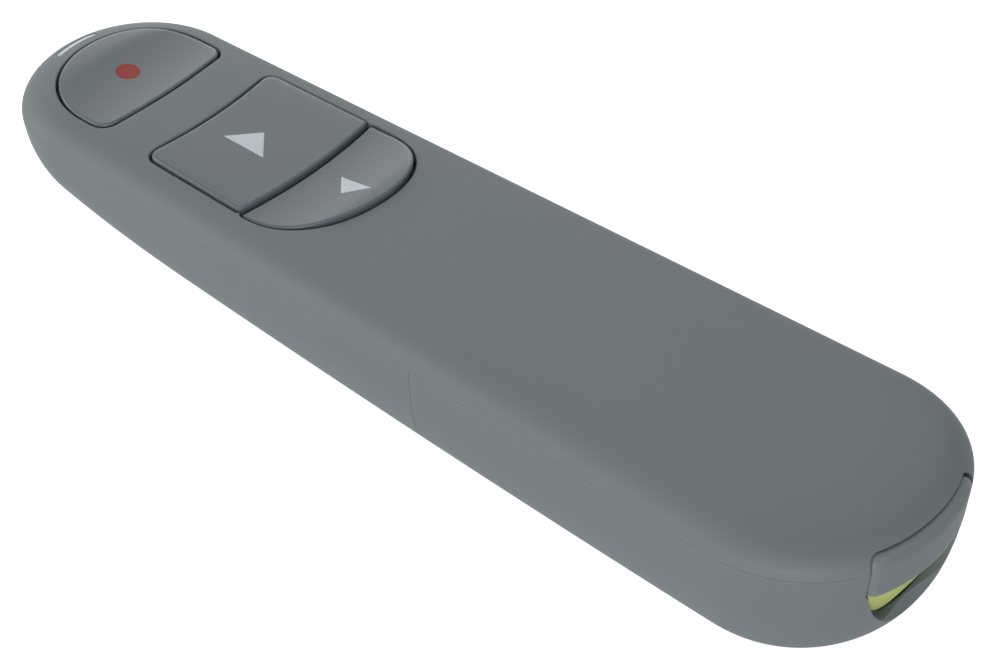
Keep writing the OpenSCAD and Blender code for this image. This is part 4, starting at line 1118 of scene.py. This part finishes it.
def buildDoor():
    # rear part of the lower skin, with the receiver's room, finger grips and a tongue under the front part
    u, half = under, under["gripWidth"] / 2
    piece = carve(makeObject("batteryDoor", *lowerSkin()), [halfSpace(-80, seam - u["seamGap"])], "INTERSECT")
    cutters = [tailNotch(), receiverRoom(), scoop()]
    for k in range(u["gripCount"]):
        y = seam - u["gripFromSeam"] - k * u["gripPitch"]
        back, depth = y - u["gripLength"], underside(y) + u["gripDepth"]
        cutters.append(makeObject("groove", *roundBox((-half, back, -1.0), (half, y, depth), u["gripRound"])))
    piece = carve(piece, cutters)
    half, wall = u["tongueWidth"] / 2, handset["wall"] + float(underside(seam - u["tongueRoot"]))
    addParts(piece, [roundBox((-half, seam - u["tongueRoot"], wall - 0.1),
                              (half, seam + u["tongueOut"], wall + u["tongueHeight"]), 0.15)])
    return finishPiece(piece, "door", shellGrey, ["battery_door"], 30)


def buildTopShell():
    # upper skin with openings for the buttons, light, window and receiver, and four screw bosses
    piece = makeObject("topShell", *topSkin())
    cutters = [openingCutter(line, parting - 0.5) for line in (laserLine(), nextLine(), previousLine())]
    slot = band(crescentLine(nose["lightGap"]), parting - 1.0, lambda x, y: 0 * x + 20, 0.05)
    piece = carve(piece, cutters + [makeObject("slot", *slot), windowBore(), tailNotch()])
    bosses, bore, radius, deep = [], under["bossBore"], under["bossRadius"], under["bossDepth"]
    top = ceiling + 0.5  # the bosses run a little way into the top wall
    for place, low in ((screws["front"], deckTop), (screws["rear"], earTop + 1.2)):
        boss = [(low, radius), (top, radius), (top, bore), (low + deep, bore), (low, bore)]
        bosses += [turnedRing(boss, 40, spot) for spot in mirrored(*place)]
    addParts(piece, bosses)
    return finishPiece(piece, "handset", shellGrey, ["top_shell"], 30)


buildTopShell()
buildBottomShell()
buildDoor()
print("shells ready")

# The caps' flanges stop where the next and the previous button meet
flange = np.full(buttons["points"], buttons["flangeOut"])
line = laserLine()
nibY = laserLow + laserButton["nibAhead"]
buttonPiece("laserButton", line, laserTop, laserButton, flange, nibY, "laser_cap", "laser_button")
line = nextLine()
ahead = np.where(line[:, 1] > nextLow + 1, flange, 0)
buttonPiece("nextButton", line, nextTopHeight, nextButton, ahead, nextMid, "next_cap", "next_button")
line = previousLine()
behind = np.where(line[:, 1] < previousTop - buttons["bow"] - 1, flange, 0)
buttonPiece("previousButton", line, previousTopHeight, previousButton, behind, previousMid, "previous_cap",
            "previous_button")


def arrowLine(look, way, y):
    # isosceles triangle that points along X, its corners barely rounded
    tip, half = look["arrowTip"], look["arrowBase"] / 2
    foot = tip + way * look["arrowHeight"]
    corners = np.array([[tip, y], [foot, y + half], [foot, y - half]])
    return resample(corners[::way], 150, 2)[::-1]


# Marks: a round dot and two arrows
turn = np.linspace(0, 2 * np.pi, 96, endpoint=False)
dotY = laserMid + laserButton["markAhead"]
dot = laserButton["markRadius"] * np.stack([np.cos(turn), np.sin(turn)], 1) + [0, dotY]
nextArrow = arrowLine(nextButton, -1, nextMid + nextButton["arrowAhead"]) + buttons["shift"]
previousArrow = arrowLine(previousButton, 1, previousMid - previousButton["arrowBehind"])
markPiece("laserMark", dot, laserTop, "laser_cap", markRed, "laser_mark")
markPiece("nextArrow", nextArrow, nextTopHeight, "next_cap", markPale, "next_arrow")
markPiece("previousArrow", previousArrow, previousTopHeight, "previous_cap", markPale,
          "previous_arrow")
print("buttons ready")

receiverCapPiece()
receiverBodyPiece()
plugShellPiece()
tongueLow, tongueHigh = nodeBox("receiver_tongue")
solidPiece("plugTongue", [roundBox(tongueLow, tongueHigh, 0.15)], "receiver", tongueWhite,
           ["receiver_tongue"])
print("receiver ready")


# Light guide: a crescent lens and the square bars that feed it
guide = {
    "sunk": 0.06, "edge": 0.08, "thick": 1.2, "shelfToNose": 3.9, "shelfHeight": 0.55, "postHeight": 0.27,
    "barWidth": 0.7, "barAboveDeck": 2.9,
}


def lightGuidePiece():
    # the lens follows the shoulder; shelf, post, cross bar, drop, long bar and foot lead to the light
    g, low, high = guide, *nodeBox("light_guide")
    lens = band(crescentLine(0), nose["lightLow"], lambda x, y: domeHeight(x, y) - g["sunk"], g["edge"])
    half, right, thick, bed = nose["lightWidth"] / 2, high[0], g["thick"], nose["lightLow"]
    back, shelf, front = low[1], noseTip - g["shelfToNose"], noseTip - handset["wall"]
    ahead, barLow = shelf + g["barWidth"], deckTop + g["barAboveDeck"]
    bars = [
        ((-half, shelf, bed), (half, front, bed + g["shelfHeight"]), 0.1),
        ((half - thick, shelf, parting - 0.1), (half, ahead, bed + g["postHeight"]), 0.08),
        ((half - thick, shelf, parting - 0.1), (right, ahead, parting + 0.5), 0.08),
        ((right - thick, shelf, barLow + 0.5), (right, ahead, parting + 0.5), 0.08),
        ((right - thick, back, barLow), (right, shelf + 0.05, barLow + 1), 0.1),
        ((right - thick, back, low[2]), (right, back + thick, barLow + 0.5), 0.1),
    ]
    return solidPiece("lightGuide", [lens] + [roundBox(*bar) for bar in bars], "handset", guideClear,
                      ["light_guide"])


def windowPiece():
    # clear red lens: its front edge falls away as a power of the cosine
    low, high = nodeBox("laser_window")
    r, dome = (high[0] - low[0]) / 2, 0.35
    profile = [(low[1], r * 0.98)]
    turns, rim = np.linspace(0, 1.5, 9), high[1] - dome
    profile += [(rim + dome * np.sin(t), r * np.cos(t) ** 0.6) for t in turns[:-1]]
    profile.append((rim + dome * np.sin(turns[-1]), 0.05))
    lens = turned(profile, 64, (0, 0, (low[2] + high[2]) / 2), 1)
    return solidPiece("laserWindow", [lens], "handset", windowRed, ["laser_window"])


def sliderPiece():
    # ridged grip outside, guide plate inside the wall, arm to the switch
    g, y, z = grip, gripMid, gripZ
    face, tip = sliderHigh[0] - g["stand"], sliderHigh[0]
    plate = face - handset["draft"] - handset["wall"] - 0.3
    half, high, pitch = g["length"] / 2, g["height"] / 2, g["length"] / g["ridges"]
    boxes = [((plate - 0.6, y - half, z - high), (tip - g["ridgeDepth"], y + half, z + high), 0.22)]
    for k in range(g["ridges"]):
        mid, wide, tall = y - half + pitch * (k + 0.5), 0.3 * pitch, high - 0.15
        boxes.append(((face, mid - wide, z - tall), (tip, mid + wide, z + tall), 0.16))
    wide = half + g["plateLap"]
    boxes.append(((plate - 0.7, y - wide, z - high - 0.5), (plate, y + wide, z + high + 0.3), 0.12))
    boxes.append(((sliderLow[0], y - 0.6, z - 0.4), (plate - 0.35, y + 0.6, z + 0.4), 0.1))
    return solidPiece("powerSlider", [roundBox(*box) for box in boxes], "slider", sliderGrey,
                      ["power_slider"])


cells = {"nubLength": 1.0, "nubRadius": 1.9, "nubRoll": 0.3, "roll": 0.35, "crimp": 0.75, "bandShare": 0.2}


def rolled(end, radius, roll, turns):
    # a quarter circle between an end face and the side
    return [(end - roll * (1 - np.sin(t)), radius - abs(roll) * (1 - np.cos(t))) for t in turns]


def cellPiece(name, node, way):
    # can in a printed sleeve: rolled ends, crimped shoulder, raised nub at the end that way points to
    low, high = nodeBox(node)
    r, length = (high[0] - low[0]) / 2, high[1] - low[1]
    body, lip, nub = length - cells["nubLength"], r - cells["crimp"], cells["nubRadius"]
    turns = quarterTurn(5)
    profile = [(0.0, 0.6 * r), (0.0, lip - 0.5), (0.12, lip)] + rolled(0.0, r, -cells["roll"], turns[::-1])
    profile += rolled(body, r, cells["roll"], turns) + [(body - 0.1, lip), (body - 0.35, lip - 0.25)]
    profile += [(body - 0.35, nub + 0.5), (body, nub)] + rolled(length, nub, cells["nubRoll"], turns)
    verts, faces = turned(profile, 72, (0, 0, 0), 1)
    along = verts[:, 1]
    metal = (np.hypot(verts[:, 0], verts[:, 2]) < lip + 0.02) | (along > body + 0.01)
    band = along > (1 - cells["bandShare"]) * body
    middle, start = (low + high) / 2, low[1] if way > 0 else high[1]
    piece = makeObject(name, verts * [way, way, 1] + [middle[0], start, middle[2]], faces)
    for label, value in (("metal", metal), ("band", band)):
        stored = piece.data.attributes.new(label, "FLOAT", "POINT")
        stored.data.foreach_set("value", value.astype(np.float32))
    return finishPiece(piece, "handset", cellWrap, [node], 25)


springs = {"wire": 0.3, "turns": 4.5, "flatShare": 0.12, "tip": 1.6, "foot": 2.9, "slip": 0.05}


def springPath(x, z, yFrom, yTo, rFrom, rTo):
    # helix along Y with a closed flat turn at each end, its radius changing evenly
    t, flat = np.linspace(0, 1, 320), springs["flatShare"]
    angle = 2 * np.pi * springs["turns"] * t
    rise = np.clip((t - flat) / (1 - 2 * flat), 0, 1)
    rise = rise * rise * (3 - 2 * rise)
    r = rFrom + (rTo - rFrom) * t
    return np.stack([x + r * np.cos(angle), yFrom + (yTo - yFrom) * rise, z + r * np.sin(angle)], 1)


def springPiece():
    # one cone of wire between each cell's flat end and the frame
    low, high = nodeBox("battery_springs")
    leftEnd, (rightLow, rightHigh) = nodeBox("battery_left")[1][1], nodeBox("battery_right")
    s, wire = springs, springs["wire"]
    x, z, gap = (rightLow[0] + rightHigh[0]) / 2, (low[2] + high[2]) / 2, s["slip"] + wire
    paths = [springPath(-x, z, leftEnd + gap, high[1] - wire, s["tip"], s["foot"]),
             springPath(x, z, low[1] + wire, rightLow[1] - gap, s["foot"], s["tip"])]
    return solidPiece("batterySprings", [wireAlong(path, wire) for path in paths], "handset", steel,
                      ["battery_springs"], 60)


def screwParts(place, length):
    # a screw with its head down: domed head, then a thread as a rippled shank, then a blunt tip
    s = screws
    r, head, shank = s["headRadius"], s["headHeight"], s["shankRadius"]
    profile = [(0.0, 0.2), (0.0, r * 0.62), (0.12, r * 0.85), (0.4, r), (head, r), (head, shank)]
    crests = np.arange(head + 0.3, length - 0.8, s["thread"] / 2)
    profile += [(h, shank - (s["threadDepth"] if k % 2 else 0.0)) for k, h in enumerate(crests)]
    profile += [(length - 0.6, shank * 0.8), (length, 0.25)]
    return turned(profile, 36, place)


def screwPiece():
    # four housing screws, each with a cross cut into its head
    s, pieces, cutters = screws, [], []
    rearTip = nodeBox("housing_screws")[1][2]
    for (x, y), seat, tip in ((s["front"], under["pocketTop"], deckTop + 4.0), (s["rear"], earTop, rearTip)):
        for place in mirrored(x, y):
            at = np.array(place) + [0, 0, seat - s["headHeight"]]
            pieces.append(screwParts(at, tip - at[2]))
            for w, d in ((s["crossReach"], s["cross"] / 2), (s["cross"] / 2, s["crossReach"])):
                cutters.append(roundBox(at - [w, d, 0.5], at + [w, d, 0.62], 0.1, 2))
    piece = makeObject("housingScrews", *placed(pieces))
    piece = carve(piece, [makeObject("cross", *cutter) for cutter in cutters])
    return finishPiece(piece, "handset", steel, ["housing_screws"], 35)


lightGuidePiece()
windowPiece()
sliderPiece()
cellPiece("cellLeft", "battery_left", -1)
cellPiece("cellRight", "battery_right", 1)
springPiece()
screwPiece()

# Inner pieces whose solids are right as they are, by finish
nodeFinishes = [
    (frameBlack, ["chassis"]),
    (switchBlack, ["laser_switch_base", "next_switch_base", "previous_switch_base"]),
    (switchBrown, ["laser_switch_plunger", "next_switch_plunger", "previous_switch_plunger"]),
    (boardGreen, ["main_board"]),
    (chipBlack, ["radio_chip"]),
    (chipTan, ["small_parts"]),
    (ledWhite, ["status_led"]),
    (brass, ["laser_barrel"]),
    (gold, ["laser_diode", "receiver_contacts"]),
    (lensClear, ["laser_lens"]),
    (wireRed, ["laser_leads", "battery_leads"]),
    (steel, ["crystal_can", "power_switch_body", "bridge_contact", "positive_contact", "negative_contact",
             "board_screws"]),
]
for material, names in nodeFinishes:
    for name in names:
        node = frame["nodes"][name]
        node.data.materials.clear()
        node.data.materials.append(material)
print("inner pieces ready")

# Camera: a long lens over the tail's left side
view = {
    "azimuth": np.radians(-51.538), "elevation": np.radians(40.258), "roll": np.radians(1.859),
    "distance": 449.631, "right": 3.564, "up": -4.15, "aimHeight": 10.0,  # millimetres
    "focalPixels": 3844.867, "imageWidth": 996.0,
    "sensor": 36.0, "nearest": 0.01, "farthest": 20.0,
}


def addToScene(name, data):
    # a camera or a lamp as an object of the scene
    made = bpy.data.objects.new(name, data)
    bpy.context.scene.collection.objects.link(made)
    return made


def placeCamera():
    # back vector from azimuth and elevation, right and up square to it, then rolled
    v, turn, tilt = view, view["azimuth"], view["elevation"]
    back = np.array([np.sin(turn) * np.cos(tilt), -np.cos(turn) * np.cos(tilt), np.sin(tilt)])
    right = np.cross(-back, [0, 0, 1])
    right /= np.linalg.norm(right)
    up = np.cross(back, right)
    c, s = np.cos(v["roll"]), np.sin(v["roll"])
    right, up = c * right + s * up, c * up - s * right
    spot = np.array([0, 0, v["aimHeight"]]) + v["right"] * right + v["up"] * up + v["distance"] * back
    data = bpy.data.cameras.new("camera")
    data.sensor_width = v["sensor"]
    data.lens = v["sensor"] * v["focalPixels"] / v["imageWidth"]
    data.clip_start, data.clip_end = v["nearest"], v["farthest"]
    camera = addToScene("camera", data)
    axes = np.column_stack([right, up, back, spot * mm])
    camera.matrix_world = Matrix(np.vstack([axes, [0, 0, 0, 1]]).tolist())
    bpy.context.scene.camera = camera


# Stage: strengths of the world and of the floor's glow, where 1 is white; the floor's sizes in millimetres
stageLook = {
    "sky": 0.21, "lift": 0.8, "mirrored": 0.5, "floorReach": 3000.0, "floorDrop": 0.02, "paperGrain": 40.0,
}
white = (1, 1, 1, 1)


def buildFloor():
    # pale square that keeps the soft shadow and glows to the camera and in reflections
    reach, z = stageLook["floorReach"], -stageLook["floorDrop"]
    corners = [[-reach, -reach, z], [reach, -reach, z], [reach, reach, z], [-reach, reach, z]]
    floor = makeObject("floor", corners, [[0, 1, 2, 3]])
    f = Finish("floorWhite")
    paper = f.mix(f.noise(stageLook["paperGrain"]), (0.84, 0.84, 0.84, 1), (0.86, 0.86, 0.86, 1))
    glow = stageLook["lift"] * f.ray("Camera") + stageLook["mirrored"] * f.ray("Glossy")
    both = f.node("AddShader", sockets={0: f.node("BsdfDiffuse", sockets={"Color": paper}),
                                        1: f.node("Emission", sockets={"Color": white, "Strength": glow})})
    f.node("OutputMaterial", sockets={"Surface": both}, out=None)
    floor.data.materials.append(f.material)


def buildWorld():
    # white to the camera, to glass and to reflections, softer as light on the object
    world = bpy.data.worlds.new("studio")
    bpy.context.scene.world = world
    w = Nodes(world)
    soft = w.node("Background", sockets={"Color": white, "Strength": stageLook["sky"]})
    seen = w.node("Background", sockets={"Color": white, "Strength": 1.0})
    shown = w.ray("Camera") | w.ray("Transmission") | w.ray("Glossy")
    both = w.node("MixShader", sockets={0: shown, 1: soft, 2: seen})
    w.node("OutputWorld", sockets={"Surface": both}, out=None)


# Round area lamps: place and width in metres, power in watts
lamps = {
    "key": ((-0.757, -0.902, 0.549), 0.9, 4.0),
    "side": ((-0.586, -0.338, 0.181), 0.4, 1.6),
    "nose": ((-0.282, 0.488, 0.205), 0.4, 1.4),
    "back": ((0.862, 0.498, 0.836), 0.9, 2.4),
    "rim": ((0.54, 0.66, 0.24), 0.5, 1.0),
}
lampAim = Vector((0, 0, 0.008))


def aimedLamp(name, spot, size, power):
    # a disk that faces the middle of the object
    data = bpy.data.lights.new(name, "AREA")
    data.shape, data.size, data.energy = "DISK", size, power
    lamp = addToScene(name, data)
    lamp.location = spot
    lamp.rotation_euler = (lampAim - Vector(spot)).to_track_quat("-Z", "Y").to_euler()


placeCamera()
buildFloor()
buildWorld()
for name, (spot, size, power) in lamps.items():
    aimedLamp(name, spot, size, power)
bpy.context.scene.view_settings.view_transform = "Standard"
print("stage ready")
